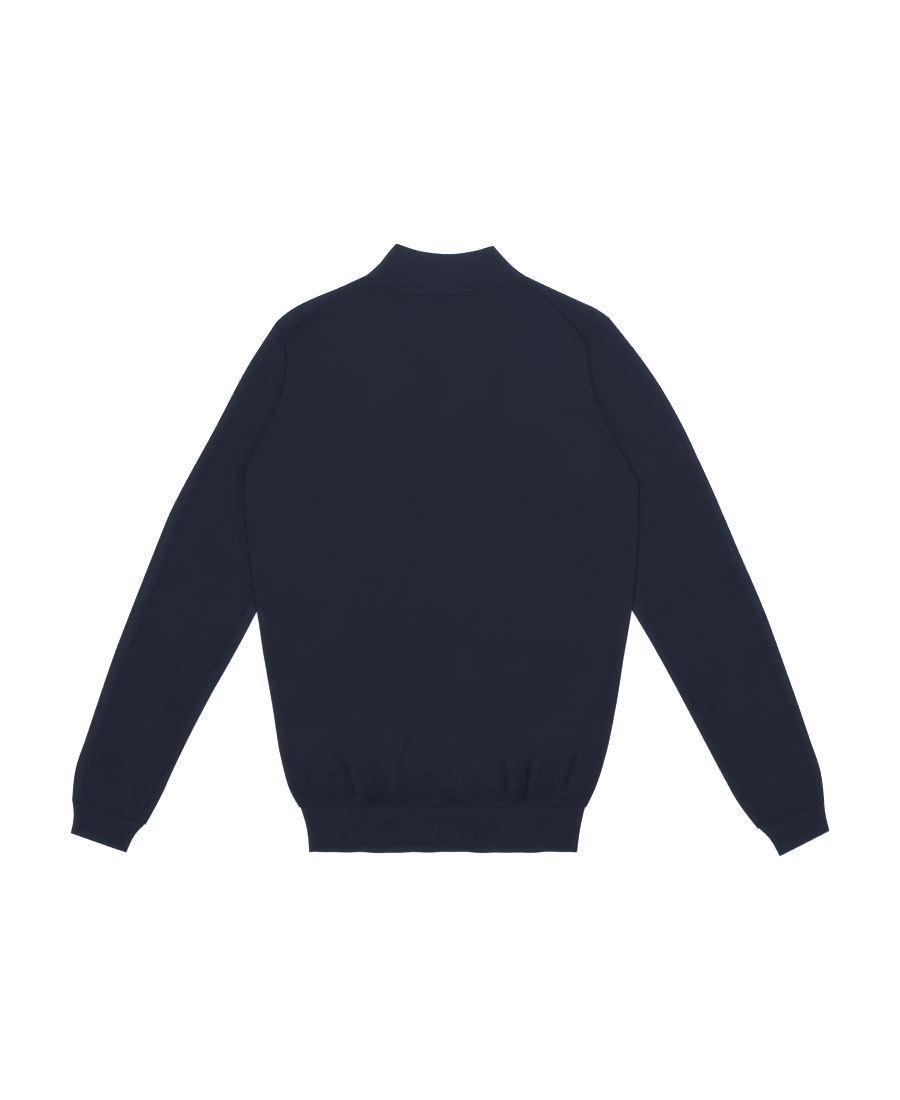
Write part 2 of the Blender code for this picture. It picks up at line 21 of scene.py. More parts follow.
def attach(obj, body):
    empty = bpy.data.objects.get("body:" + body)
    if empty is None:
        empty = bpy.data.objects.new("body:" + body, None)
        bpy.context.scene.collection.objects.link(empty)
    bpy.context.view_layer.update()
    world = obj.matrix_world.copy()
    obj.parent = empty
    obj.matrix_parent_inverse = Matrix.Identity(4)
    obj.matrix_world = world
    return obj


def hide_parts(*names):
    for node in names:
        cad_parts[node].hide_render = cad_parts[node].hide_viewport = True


MM = 0.001
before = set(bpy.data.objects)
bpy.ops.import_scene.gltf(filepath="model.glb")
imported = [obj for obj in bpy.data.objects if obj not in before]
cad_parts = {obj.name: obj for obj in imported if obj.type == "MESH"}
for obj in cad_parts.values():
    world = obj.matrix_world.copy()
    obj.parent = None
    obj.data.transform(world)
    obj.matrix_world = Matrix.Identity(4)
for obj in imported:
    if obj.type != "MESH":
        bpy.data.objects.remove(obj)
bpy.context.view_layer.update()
print("nodes:", ", ".join(sorted(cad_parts)))

# %% [markdown]
# ## The camera
#
# The photograph looks straight down on the sweater. One of its pixels covers 1.22 mm
# of cloth, which sets how much the camera must see from its height. A long lens from
# high up keeps the view nearly free of perspective, as in a catalogue picture.

# %% Camera
PICTURE = (900, 1100)           # pixels across and up
PIXEL = 1.22 * MM               # one pixel, measured on the cloth
PICTURE_CENTRE = (-0.1 * PIXEL, 0.5 * PIXEL)
CLOTH_LEVEL = 4 * MM
EYE_HEIGHT = 3.2
SENSOR = 36.0

lens = bpy.data.cameras.new("camera")
lens.sensor_width = SENSOR
lens.lens = SENSOR * (EYE_HEIGHT - CLOTH_LEVEL) / (max(PICTURE) * PIXEL)
camera = bpy.data.objects.new("camera", lens)
camera.location = (*PICTURE_CENTRE, EYE_HEIGHT)
bpy.context.collection.objects.link(camera)
bpy.context.scene.camera = camera
print(f"the lens is {lens.lens:.0f} mm, {EYE_HEIGHT} m above the floor")

# %% [markdown]
# ## Shader arithmetic
#
# A knitted surface is a formula: where a stitch's legs are, how they tilt and how
# deep the gaps between them are. Written as Math nodes it is hard to read, so a small
# class stands for one wire between nodes. Python's own operators on wires then add
# the Math nodes, and one method adds every other kind of node.

# %% A wire between shader nodes
class Wire:
    """One output socket of a shader node, with arithmetic."""

    def __init__(self, tree, socket=None):
        self.tree, self.socket = tree, socket

    def node(self, kind, settings=None, inputs=None, output=0):
        """Add a node: first its settings, then the values or wires of its sockets."""
        made = self.tree.nodes.new(kind)
        for name, value in (settings or {}).items():
            setattr(made, name, value)
        for name, value in (inputs or {}).items():
            if isinstance(value, Wire):
                self.tree.links.new(value.socket, made.inputs[name])
            else:
                made.inputs[name].default_value = value
        return Wire(self.tree, made.outputs[output])

    def math(self, operation, *values):
        return self.node("ShaderNodeMath", {"operation": operation},
                         dict(enumerate(values)))

    def __add__(self, other):
        return self.math("ADD", self, other)

    def __sub__(self, other):
        return self.math("SUBTRACT", self, other)

    def __rsub__(self, other):
        return self.math("SUBTRACT", other, self)

    def __mul__(self, other):
        return self.math("MULTIPLY", self, other)

    def __pow__(self, other):
        return self.math("POWER", self, other)

    def __abs__(self):
        return self.math("ABSOLUTE", self)

    def sine(self):
        return self.math("SINE", self)

    def fraction(self):
        return self.math("FRACT", self)

    def into(self, shader, name):
        self.tree.links.new(self.socket, shader.inputs[name])

    __radd__, __rmul__ = __add__, __mul__


print("wires are ready")

# %% [markdown]
# ## The yarn
#
# The sweater is one navy yarn throughout. Up close the fabric is rows of small Vs:
# each stitch has two legs that lean together at the foot. The pattern reads a UV map
# named "knit" which counts stitches across and rows up, so it follows each panel. The
# V is bump, because a stitch is only 1.5 mm wide, and the hollows between legs are
# also darker, since little light gets in. Two noises break the colour up: fine
# fibres, and a soft mottling as from handling and pressing. Wool has a thin fuzz,
# which Sheen gives: it lightens the cloth where it turns away from the eye. Near
# folds and free edges the colour is also painted lighter, a painted highlight where
# the cloth rolls over, read from a second UV map.

# %% Knitted materials
WALE = 1.5 * MM                 # one stitch across
COURSE = 1.15 * MM              # one row of stitches
RIB_PITCH = 3.85 * MM           # one knit and one purl column of the ribbing
V_SLANT = 0.55                  # how far a leg climbs across half a stitch, in rows
LEG_ROUND, LOOP_ROUND = 0.7, 0.5
STITCH_DEPTH = 0.3 * MM
FIBRES = 1400.0                 # specks in a metre
MOTTLING = 14.0                 # soft patches in a metre
JERSEY_NAVY = (0.0088, 0.0110, 0.0197)
RIB_NAVY = (0.0096, 0.0118, 0.0212)
FUZZ_TINT = (0.42, 0.52, 0.85, 1.0)
HIGHLIGHT_GAIN = 1.15              # how much lighter the colour is painted along folds and free edges, a painted highlight


def knit_height(wires, across, up):
    """Height of the stitches from 0 to 1, from stitch counts across and up."""
    aside = abs(across.fraction() * 2 - 1)
    leg = abs((across * (2 * np.pi)).sine()) ** LEG_ROUND
    loop = abs(((up - aside * V_SLANT) * np.pi).sine()) ** LOOP_ROUND
    return leg * loop


def knit_material(name, navy):
    """A matt navy knit whose colour, roughness and bump come from its stitches."""
    material = bpy.data.materials.new(name)
    material.use_nodes = True
    shader = material.node_tree.nodes["Principled BSDF"]
    wires = Wire(material.node_tree)
    stitches = wires.node("ShaderNodeUVMap", {"uv_map": "knit"})
    across = wires.node("ShaderNodeSeparateXYZ", inputs={"Vector": stitches}, output="X")
    up = wires.node("ShaderNodeSeparateXYZ", inputs={"Vector": stitches}, output="Y")
    place = wires.node("ShaderNodeTexCoord", output="Object")
    fibre = wires.node("ShaderNodeTexNoise", inputs={"Vector": place, "Scale": FIBRES,
                                                     "Detail": 2.0})
    mottle = wires.node("ShaderNodeTexNoise", inputs={"Vector": place, "Scale": MOTTLING,
                                                      "Detail": 3.0, "Roughness": 0.6})
    height = knit_height(wires, across, up)
    # The second UV map holds the share of painted highlight near folds and free edges, which
    # lightens the tone there; the stitch height also sets the tone, so the hollows are painted
    # darker.
    painted_highlight = wires.node("ShaderNodeUVMap", {"uv_map": "painted_highlight"})
    painted_highlight = wires.node("ShaderNodeSeparateXYZ", inputs={"Vector": painted_highlight}, output="X")
    tone = height * 0.50 + fibre * 0.45 + mottle * 0.30 + painted_highlight * HIGHLIGHT_GAIN - 0.15
    dark = (*[0.55 * c for c in navy], 1.0)
    light = (*[1.45 * c for c in navy], 1.0)
    colour = wires.node("ShaderNodeMix", {"data_type": "RGBA", "clamp_factor": False},
                        {0: tone, 6: dark, 7: light}, output=2)
    colour.into(shader, "Base Color")
    (fibre * 0.2 + 0.78).into(shader, "Roughness")
    relief = height + fibre * 0.35
    bump = wires.node("ShaderNodeBump", inputs={"Strength": 0.8, "Distance": STITCH_DEPTH,
                                                "Height": relief})
    bump.into(shader, "Normal")
    shader.inputs["Specular IOR Level"].default_value = 0.05
    shader.inputs["Sheen Weight"].default_value = 0.04
    shader.inputs["Sheen Roughness"].default_value = 0.55
    shader.inputs["Sheen Tint"].default_value = FUZZ_TINT
    return material


jersey = knit_material("navy_jersey", JERSEY_NAVY)
ribbing = knit_material("navy_ribbing", RIB_NAVY)
print("two knits from one yarn:", jersey.name, "and", ribbing.name)

# %% [markdown]
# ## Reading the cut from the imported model
#
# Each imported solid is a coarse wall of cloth, and its edges are the lines that the
# finer cloth has to keep. The upper skin of a solid is the faces that look up and
# hang together, and the line round them is the outline of the panel. Turned
# anticlockwise, a stretch of it is named by the two corners that it runs between. The
# corners are the places where a maker would put a notch.

# %% Outlines and corners
WELD = 0.01 * MM
LEAN = 0.045                    # a face leans at least this much up or down
LAYER_WEIGHT = 20               # layers are told apart by height before place
Corner = namedtuple("Corner", "left right")


def corners(**places):
    """Corners of the cut, from millimetres on the left and on the right side."""
    return {name: Corner(*(np.array(side) * MM for side in sides))
            for name, sides in places.items()}


CORNERS = corners(
    neck_fold=((-102.5, 336.5), (91.5, 336.0)),
    neck_seam=((-91.0, 329.0), (83.0, 330.0)),
    shoulder_tip=((-212.0, 280.0), (194.0, 285.0)),
    shoulder_seam=((-200.0, 254.0), (168.0, 248.0)),
    underarm=((-251.5, 97.0), (230.5, 81.0)),
    sleeve_parts=((-236.0, -75.0), (222.0, -73.0)),
    by_underarm=((-302.0, 122.5), (301.0, 117.0)),
    by_parting=((-364.0, -7.0), (355.0, -6.0)),
    body_hem=((-184.5, -313.5), (166.5, -313.5)),
    rib_seam=((-183.0, -313.5), (165.0, -313.5)),
    rib_end=((-172.5, -368.5), (155.5, -368.5)),
    collar_top=((-66.0, 375.0), (53.0, 372.5)),
    sleeve_outer_end=((-462.0, -305.5), (457.5, -308.0)),
    sleeve_inner_end=((-371.5, -335.0), (375.5, -340.0)),
    cuff_outer_seam=((-461.0, -305.8), (456.5, -308.4)),
    cuff_inner_seam=((-374.5, -334.0), (378.5, -338.8)),
    cuff_outer_end=((-463.5, -345.0), (463.5, -342.0)),
    cuff_inner_end=((-395.0, -369.0), (402.0, -373.5)),
)


def outline(node, place, up=True):
    """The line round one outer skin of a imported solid, anticlockwise from above.
    place is a point near that skin, in millimetres."""
    way = 1 if up else -1
    bm = bmesh.new()
    bm.from_mesh(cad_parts[node].data)
    bmesh.ops.remove_doubles(bm, verts=bm.verts, dist=WELD)
    scale = np.array((1, 1, LAYER_WEIGHT))
    near = np.array(place) * MM * scale
    looking = [face for face in bm.faces if face.normal.z * way > LEAN]
    first = min(looking, key=lambda face: np.linalg.norm(
        np.array(face.calc_center_median()) * scale - near))
    skin, queue = {first}, [first]
    while queue:
        for edge in queue.pop().edges:
            for face in edge.link_faces:
                if face not in skin and face.normal.z * way > LEAN:
                    skin.add(face)
                    queue.append(face)
    follow = {}
    for face in skin:
        for loop in face.loops:
            if sum(other in skin for other in loop.edge.link_faces) == 1:
                follow[loop.vert] = loop.link_loop_next.vert
    start = next(iter(follow))
    line, vert = [start], follow[start]
    while vert is not start:
        line.append(vert)
        vert = follow[vert]
    points = np.array([vert.co.xy for vert in line])
    bm.free()
    return points if up else points[::-1]


def nearest(line, corner):
    return int(np.argmin(np.linalg.norm(line - corner, axis=1)))


def onwards(line, start, end):
    """The stretch of an outline from one corner anticlockwise to another."""
    first, last = nearest(line, start), nearest(line, end)
    return np.roll(line, -first, axis=0)[:(last - first) % len(line) + 1]


def backwards(line, start, end):
    """The stretch from one corner clockwise to another."""
    return onwards(line, end, start)[::-1]


back_line = outline("back_panel", (0, 0, 4))
print(f"the back's outline has {len(back_line)} points")

# %% [markdown]
# ## Smooth lines and four-sided panels
#
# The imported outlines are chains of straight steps, so a smooth curve is drawn through
# their points. A panel is then a grid between four such sides. A grid that blends
# the sides evenly is a Coons patch: the average of the two ways across it, less what
# the corners count twice. Blender's own grid fill works alike, but here the rows and
# columns have to start close together at seams and folds, where the cloth turns.

# %% Lines and grids in plan
STATION_GAP = 6 * MM            # points of an outline that are closer are skipped
CURVE_STEPS = np.linspace(0, 1, 24, endpoint=False)[:, None]
GRID_STEP = 3.2 * MM            # between two threads of the grid that a panel is made of


def lengths(line):
    steps = np.linalg.norm(np.diff(line, axis=0), axis=1)
    return np.concatenate(([0], np.cumsum(steps)))


def curve(line):
    """A fine smooth curve through the points of a stretch of outline."""
    kept = [line[0]]
    for point in line[1:-1]:
        gaps = [np.linalg.norm(point - other) for other in (kept[-1], line[-1])]
        if min(gaps) > STATION_GAP:
            kept.append(point)
    kept = np.array(kept + [line[-1]])
    if len(kept) < 3:
        return kept
    steps = np.linalg.norm(np.diff(kept, axis=0), axis=1)[:, None]
    slopes = np.diff(kept, axis=0) / steps
    inner = ((slopes[:-1] * steps[1:] + slopes[1:] * steps[:-1])
             / (steps[:-1] + steps[1:]))
    first, last = 1.5 * slopes[0] - 0.5 * inner[0], 1.5 * slopes[-1] - 0.5 * inner[-1]
    tangents = np.vstack((first, inner, last))
    t = CURVE_STEPS
    pieces = []
    for k, step in enumerate(steps):
        a, b = kept[k], kept[k + 1]
        pieces.append(a * (1 + 2 * t) * (1 - t) ** 2 + b * t * t * (3 - 2 * t)
                      + tangents[k] * step * t * (1 - t) ** 2
                      - tangents[k + 1] * step * t * t * (1 - t))
    return np.vstack(pieces + [kept[-1:]])


def stations(line, fractions):
    """Points at these fractions of the length of the smooth curve through a line."""
    fine = curve(line)
    reach = lengths(fine)
    wanted = np.array(fractions) * reach[-1]
    return np.column_stack([np.interp(wanted, reach, fine[:, k]) for k in (0, 1)])


def joined(stretches):
    """Several lines, each of which starts where the one before ends, as one."""
    return np.vstack([stretches[0]] + [line[1:] for line in stretches[1:]])


def fractions(length, first=(0.0,), last=(0.0,), step=GRID_STEP):
    """Fractions of a length: these distances from its two ends, and even between."""
    middle = length - first[-1] - last[-1]
    count = max(2, round(middle / step))
    even = first[-1] + middle * np.arange(1, count) / count
    ends = length - np.array(last)[::-1]
    return np.concatenate((first, even, ends)) / length


def grid(top, bottom, left, right, across, down):
    """A Coons patch between four sides. Rows run across and columns down."""
    u, v = np.array(across)[None, :, None], np.array(down)[:, None, None]
    ends = (1 - v) * top[None] + v * bottom[None]
    sides = (1 - u) * left[:, None] + u * right[:, None]
    corner = ((1 - v) * ((1 - u) * top[0] + u * top[-1])
              + v * ((1 - u) * bottom[0] + u * bottom[-1]))
    return ends + sides - corner


print("fractions of 20 mm with close ends:",
      np.round(fractions(20 * MM, (0, MM), (0, MM), 5 * MM), 2))

# %% [markdown]
# ## Folds, layers and thickness
#
# A garment that lies flat is two layers of cloth which turn into each other at soft
# folds. So the point at the end of a row is spread round a quarter circle: from flat
# on top to the outermost line of the fold. Where a row ends at a seam instead, its
# end is spread over a few close steps, so that the seam's edge can dip. Each point
# gets an outer and an inner place, because ribs stand up on the outside alone and the
# inside of the cloth stays plain.

# %% Rows that end in folds or seams
TURNS = 7                                        # points round a quarter of a fold
FOLD_ANGLES = np.linspace(0, np.pi / 2, TURNS)
FOLD_PRESS = 0.17 * MM                           # folds press out until they nearly touch
SEAM_CLOSE = 0.145 * MM                          # and seams are drawn shut
TUCK = 0.5 * MM                                  # a sleeve's edge goes under the back's
SEAM_STEPS = 2.9 * MM * np.linspace(0, 1, TURNS) ** 1.3
REACH = 3.6 * MM                                 # the plain grid starts this far in
SEAM_ROWS = (0.0, 0.5 * MM, 1.1 * MM, 1.9 * MM, 3.0 * MM)
Rows = namedtuple("Rows", "centre way angle")
Sheet = namedtuple("Sheet", "outer inner knit")


def turned(plan, half, first, last, gap=-SEAM_CLOSE):
    """Spread both ends of each row of a grid. half is each row's half height, and
    first and last say which rows end in a fold there. None leaves that end alone.
    gap is how far a seam's edge stands back from its line."""
    flat = (plan, np.zeros_like(plan), np.full(plan.shape[:2], np.pi / 2))
    parts = [[a[:, 1:-1] for a in flat]]
    for folded, edge, beside, side in ((first, 0, 1, 0), (last, -1, -2, 1)):
        if folded is None:
            part = [a[:, [edge]] for a in flat]
        else:
            folded = np.array(folded)[:, None]
            way = plan[:, beside] - plan[:, edge]
            way = way / np.linalg.norm(way, axis=1, keepdims=True)
            inset = np.where(folded, np.array(half)[:, None] - FOLD_PRESS,
                             SEAM_STEPS + gap)
            centre = plan[:, edge, None] + way[:, None] * inset[..., None]
            angle = np.where(folded, FOLD_ANGLES, np.pi / 2)
            part = [centre, np.broadcast_to(-way[:, None], centre.shape), angle]
        parts.insert(2 * side, part if side == 0 else [a[:, ::-1] for a in part])
    return Rows(*(np.concatenate(group, axis=1) for group in zip(*parts)))


def drawn_shut(plan, first=0.0, last=SEAM_CLOSE):
    """Move the first and the last row of a grid out a little, to close a seam."""
    plan = plan.copy()
    for amount, edge, beside in ((first, 0, 1), (last, -1, -2)):
        way = plan[edge] - plan[beside]
        plan[edge] += amount * way / np.linalg.norm(way, axis=1, keepdims=True)
    return plan


def turned_at_top(plan, half, folds, first, last):
    """Spread the rows' ends and also the first row, where folds says so by column."""
    down = turned(plan.swapaxes(0, 1), np.full(plan.shape[1], half), folds, None)
    down = [a.swapaxes(0, 1) for a in down]
    rows = down[0].shape[0]
    extra = rows - plan.shape[0]
    first, last = (None if flags is None
                   else np.concatenate((np.repeat(flags[:1], extra), flags))
                   for flags in (first, last))
    own = turned(down[0], np.full(rows, half), first, last)
    pad = [0 if flags is None else TURNS - 1 for flags in (first, last)]
    wide = [np.concatenate([a[:, :1]] * pad[0] + [a] + [a[:, -1:]] * pad[1], axis=1)
            for a in down[1:]]
    mine = own.angle < np.pi / 2
    return Rows(own.centre, np.where(mine[..., None], own.way, wide[0]),
                np.where(mine, own.angle, wide[1]))


def lay(rows, half, wall, side, lift=0.0, ribs=0.0):
    """Outer and inner points of a layer: side is 1 for the upper layer and -1 for
    the lower. lift moves the whole wall and ribs its outer face, away from the middle."""
    half = np.broadcast_to(np.array(half), rows.angle.shape[:1])[:, None]
    made = []
    for radius, raised in ((half, lift + ribs), (half - wall, lift)):
        plan = rows.centre + rows.way * (radius * np.cos(rows.angle))[..., None]
        rise = (radius + raised) * np.sin(rows.angle)
        made.append(np.dstack((plan, half + side * rise)))
    return made


def unrolled(rows, half):
    """Places in plan as if every fold lay open, so that stitches keep their size."""
    half = np.broadcast_to(np.array(half), rows.angle.shape[:1])[:, None]
    return rows.centre + rows.way * ((np.pi / 2 - rows.angle) * half)[..., None]


print("a fold turns through", np.degrees(FOLD_ANGLES).round().astype(int))

# %% [markdown]
# ## From grids to cloth
#
# `create_grid` makes the faces of each layer and its points are then moved to their
# places. Layers that share a fold are merged there, the faces are turned outwards,
# and the wall is made by extruding the whole skin: the copy stays outside while the
# old points go to the inside. The rim at every open edge is divided once, and where
# the edge hangs free it swells a little, as a knitted edge does.

# %% Make a piece of cloth
RIM_SWELL = 0.3 * MM
NEAR_RIM = 1.5 * MM
pieces = {}


def finished(bm, name, material):
    """Turn a bmesh into a piece that rides on the sweater's one body."""
    mesh = bpy.data.meshes.new(name)
    bm.to_mesh(mesh)
    bm.free()
    mesh.materials.append(material)
    mesh.shade_smooth()
    piece = bpy.data.objects.new(name, mesh)
    bpy.context.collection.objects.link(piece)
    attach(piece, "root")
    pieces[name] = piece
    return piece


def cloth(name, sheets, material, slot, upper=True, free=()):
    """Make a piece from its layers. upper says that its highest face looks up, and
    free has the lines of the edges that hang free, whose rims swell."""
    bm = bmesh.new()
    inner = bm.verts.layers.float_vector.new("inner")
    knit = bm.verts.layers.float_vector.new("stitches")
    for sheet in sheets:
        rows, columns = sheet.outer.shape[:2]
        made = bmesh.ops.create_grid(bm, x_segments=columns - 1, y_segments=rows - 1,
                                     size=0.5)
        places = (part.reshape(-1, 3) for part in sheet)
        for vert, outside, inside, stitch in zip(made["verts"], *places):
            vert.co, vert[inner], vert[knit] = outside, inside, stitch
    bmesh.ops.remove_doubles(bm, verts=bm.verts, dist=WELD)
    bmesh.ops.recalc_face_normals(bm, faces=bm.faces)
    highest = max(bm.faces, key=lambda face: face.calc_center_median().z)
    if (highest.normal.z > 0) != upper:
        bmesh.ops.reverse_faces(bm, faces=bm.faces)

    old = bm.verts[:]
    grown = bmesh.ops.extrude_face_region(bm, geom=bm.faces[:])["geom"]
    grown = {part for part in grown if isinstance(part, bmesh.types.BMVert)}
    for vert in old:
        vert.co = vert[inner]
    rungs = [edge for edge in bm.edges
             if (edge.verts[0] in grown) != (edge.verts[1] in grown)]
    divided = bmesh.ops.subdivide_edges(bm, edges=rungs, cuts=1, use_grid_fill=True)
    bm.normal_update()
    for part in divided["geom_inner"]:
        if isinstance(part, bmesh.types.BMVert):
            place = np.array(part.co.xy)
            if any(away(place, line) < NEAR_RIM for line in free):
                part.co += part.normal * RIM_SWELL
                part.co.z = max(part.co.z, 0.0)
    # The knit UV map holds the stitch counts, and the second one the share of painted
    # highlight near folds and free edges.
    uv = bm.loops.layers.uv.new("knit")
    painted_highlight = bm.loops.layers.uv.new("painted_highlight")
    for face in bm.faces:
        for loop in face.loops:
            loop[uv].uv = loop.vert[knit].xy
            loop[painted_highlight].uv = (loop.vert[knit].z, 0.0)
    for layer in ("inner", "stitches"):
        bm.verts.layers.float_vector.remove(bm.verts.layers.float_vector[layer])
    triangles = sum(len(face.verts) - 2 for face in bm.faces)
    piece = finished(bm, name, material)
    print(f"{name}: {triangles} triangles")
    return piece


print(f"free rims swell by {RIM_SWELL / MM} mm")

# %% [markdown]
# ## Shaping the cloth
#
# Cloth that lies flat still has life in it. Seams pull down into a groove with a soft
# ridge beside it, the wide body gathers where it meets the tighter rib, and pressed
# panels keep long shallow waves. Each of these is a height added to a panel's points.
# A crease is a line with a rise: a ridge if it is above 0 and a trough if below. It
# fades in from its top, bows to one side, and ends quickly at its foot.

# %% Creases, seams and waves
EDGE_ROUND = 0.8                # millimetres that a cut edge is rounded over
ROLL_OFF, ROLL_REACH = 1.0 * MM, 5.5 * MM
# how far the painted highlight reaches in from folds and free edges
HIGHLIGHT_REACH = 5.0 * MM
CALM_REACH = 14.0 * MM
Crease = namedtuple("Crease", "top_x top_y foot_x foot_y rise width bow")
Wave = namedtuple("Wave", "across up shift rise")
WAVES = (
    # waves in a metre across and up, shift in turns, rise in millimetres
    Wave(5.3, 2.1, 0.10, 0.22),
    Wave(-3.7, 6.2, 0.45, 0.18),
    Wave(9.1, -4.4, 0.80, 0.12),
    Wave(2.3, 13.0, 0.25, 0.09),
)


def ease(t):
    """0 below 0, 1 above 1 and a smooth rise between."""
    t = np.clip(t, 0.0, 1.0)
    return t * t * (3 - 2 * t)


def away(points, line):
    """Distance of each point from a chain of straight steps, in plan."""
    best = np.full(points.shape[:-1], np.inf)
    for a, b in zip(line[:-1], line[1:]):
        run = b - a
        along = np.clip((points - a) @ run / max(run @ run, 1e-12), 0, 1)
        gap = np.linalg.norm(points - a - along[..., None] * run, axis=-1)
        best = np.minimum(best, gap)
    return best


def creased(points, creases):
    """Height that a table of creases adds. The table is in millimetres."""
    lift = np.zeros(points.shape[:-1])
    for crease in creases:
        top = np.array((crease.top_x, crease.top_y)) * MM
        run = np.array((crease.foot_x, crease.foot_y)) * MM - top
        size = np.linalg.norm(run)
        t = (points - top) @ run / size ** 2
        beside = (points - top) @ np.array((-run[1], run[0])) / size
        beside = beside - crease.bow * MM * 4 * t * (1 - t)
        fade = ease(t / 0.5) * ease((1.12 - t) / 0.16)
        lift += crease.rise * MM * fade * np.exp(-(beside / (crease.width * MM)) ** 2)
    return lift


def waved(points):
    """Long shallow waves, as uneven as cloth that was smoothed by hand."""
    lift = np.zeros(points.shape[:-1])
    for wave in WAVES:
        phase = points @ np.array((wave.across, wave.up)) + wave.shift
        lift += wave.rise * MM * np.sin(2 * np.pi * phase)
    return lift


def calm(points, lines):
    """0 at these seams and 1 away from them, so that waves fade out towards a seam."""
    gap = np.minimum.reduce([away(points, line) for line in lines])
    return 1 - np.exp(-(gap / CALM_REACH) ** 2)


def beside(points, line, rise, width, edge=0.0, off=0.0):
    """A rise in millimetres at a distance off beside a line, which fades over a width,
    and an edge that is rounded off at the line itself."""
    gap = away(points, line) / MM
    return MM * (rise * np.exp(-((gap - off) / width) ** 2)
                 - edge * np.exp(-(gap / EDGE_ROUND) ** 2))


def rolled_off(points, line):
    """Cloth begins to turn down well before the fold itself."""
    return -ROLL_OFF * np.exp(-away(points, line) / ROLL_REACH)


def highlight_share(points, lines):
    """How near a point is to folds and free edges, from 0 to 1, which is its share of painted
    highlight.
    """
    return np.exp(-np.minimum.reduce([away(points, line) for line in lines]) / HIGHLIGHT_REACH)


# The share of painted highlight goes in as the third number of the stitch counts.
def with_highlight(stitches, points, lines):
    return np.dstack((stitches[..., :2], highlight_share(points, lines)))


print(f"{len(WAVES)} waves, up to {sum(w.rise for w in WAVES):.2f} mm high in all")

# %% [markdown]
# ## The back panel
#
# The back is the top layer of the body. Above the underarms it ends at seams: the
# armholes, the back shoulder seams and the neck. Below, it rolls over the side folds,
# where it is linked to the front. It is wider than the hem rib that holds it in, so it
# puffs up over the rib and falls in uneven gathers. Their places, lengths and depths
# follow the photograph.

# %% Sizes of the two layers
BODY_HALF, BODY_WALL = 2.0 * MM, 1.4 * MM
RIB_HALF, RIB_WALL = 2.2 * MM, 1.6 * MM
RIB_RISE = 0.38 * MM
NECK_START, NECK_END = 0.27, 0.76     # the neck's share of the columns
PUFF_RISE = 4.2 * MM
PUFF_TOP, PUFF_CREST, PUFF_FOOT = -190 * MM, -286 * MM, -313.5 * MM
SEAM_STAND = 1.7                # millimetres that the rib's seam stands above the band
PUFF_FALL = 1 - (SEAM_STAND * MM + 2 * (RIB_HALF - BODY_HALF)) / PUFF_RISE
LOWEST_SINK = 1.0 * MM
BACK_CREASES = (
    # troughs where the back is gathered into the rib, from left to right
    Crease(-172, -256, -166, -297, -1.0, 4.5, 1.0),
    Crease(-137, -243, -117, -299, -3.2, 3.6, 1.5),
    Crease(-91, -238, -84, -304, -2.3, 9.5, 0.0),
    Crease(-78, -268, -76, -307, -1.5, 4.0, 0.0),
    Crease(-42, -222, -62, -274, -0.9, 7.5, 0.0),
    Crease(-25, -266, -19, -305, -1.5, 5.5, 0.0),
    Crease(37, -272, 35, -306, -1.4, 4.0, 0.0),
    Crease(65, -244, 69, -292, -2.0, 2.6, 0.5),
    Crease(66, -266, 72, -304, -1.9, 6.0, 0.0),
    Crease(103, -246, 90, -305, -4.6, 3.5, -1.5),
    Crease(141, -226, 124, -303, -1.7, 8.0, -1.0),
    Crease(158, -242, 141, -293, -2.8, 3.7, -1.0),
    # ridges between them
    Crease(-129, -242, -99, -303, 1.7, 4.0, 1.5),
    Crease(-70, -254, -63, -305, 2.5, 3.8, 0.5),
    Crease(-49, -262, -45, -302, 0.9, 7.0, 0.0),
    Crease(15, -266, 22, -305, 1.8, 7.0, -1.0),
    Crease(77, -242, 82, -292, 2.3, 6.5, 0.0),
    Crease(112, -246, 101, -294, 1.7, 4.5, -1.0),
    Crease(149, -236, 141, -276, 1.1, 4.5, -1.0),
    Crease(-154, -256, -144, -300, 0.9, 5.0, 0.0),
    # the back stands over the ends of the shoulder seams
    Crease(-165, 284, -196, 258, 0.7, 6.5, 0.0),
    Crease(142, 284, 164, 256, 0.6, 5.0, 0.0),
    # long soft drags further up
    Crease(-205, 60, -160, -40, 0.5, 14.0, 6.0),
    Crease(192, 40, 150, -70, 0.5, 15.0, -6.0),
    Crease(-150, -120, -120, -240, -0.45, 11.0, 5.0),
    Crease(120, -120, 100, -235, -0.45, 11.0, -5.0),
    Crease(-60, 295, -40, 200, 0.4, 14.0, 5.0),
    Crease(90, 290, 60, 190, 0.5, 15.0, -6.0),
    Crease(-10, 60, 10, -100, 0.35, 16.0, 5.0),
)
SEAM_CREASES = (
    # where cloth hangs over the rib's seam
    Crease(-102, -297, -90, -311, -1.7, 2.4, 0.0),
    Crease(-94, -309, -71, -308, -1.6, 2.6, -0.5),
    Crease(-10, -307, 15, -309, -1.1, 2.6, 0.5),
    Crease(79, -304, 89, -308, -0.7, 2.8, 0.5),
)
SEAM_DIPS = (
    # and the seam itself gives way, on the rib's side too
    Crease(-112, -313, -62, -312, -1.5, 8.0, 0.0),
    Crease(-66, -318, -54, -318, -0.8, 4.0, 0.0),
    Crease(-26, -312, 22, -313, -0.8, 8.0, 0.0),
    Crease(52, -311, 100, -312, -1.9, 8.5, 0.0),
)


def puffed(points):
    """The back stands up over the rib that holds it in."""
    y = points[..., 1]
    above = ease((PUFF_TOP - y) / (PUFF_TOP - PUFF_CREST))
    below = 1 - PUFF_FALL * ease((PUFF_CREST - y) / (PUFF_CREST - PUFF_FOOT))
    return PUFF_RISE * above * below


print(f"{len(BACK_CREASES) + len(SEAM_CREASES)} creases shape the back")

# %% Lines of the back
L, R = 0, 1


def corner(name, side):
    return CORNERS[name][side]


def back_sides(line):
    """The armholes and sides of the back, each from the top down, and its seams."""
    armhole = (onwards(line, corner("shoulder_seam", L), corner("underarm", L)),
               backwards(line, corner("shoulder_seam", R), corner("underarm", R)))
    side = (onwards(line, corner("underarm", L), corner("body_hem", L)),
            backwards(line, corner("underarm", R), corner("body_hem", R)))
    return armhole, side


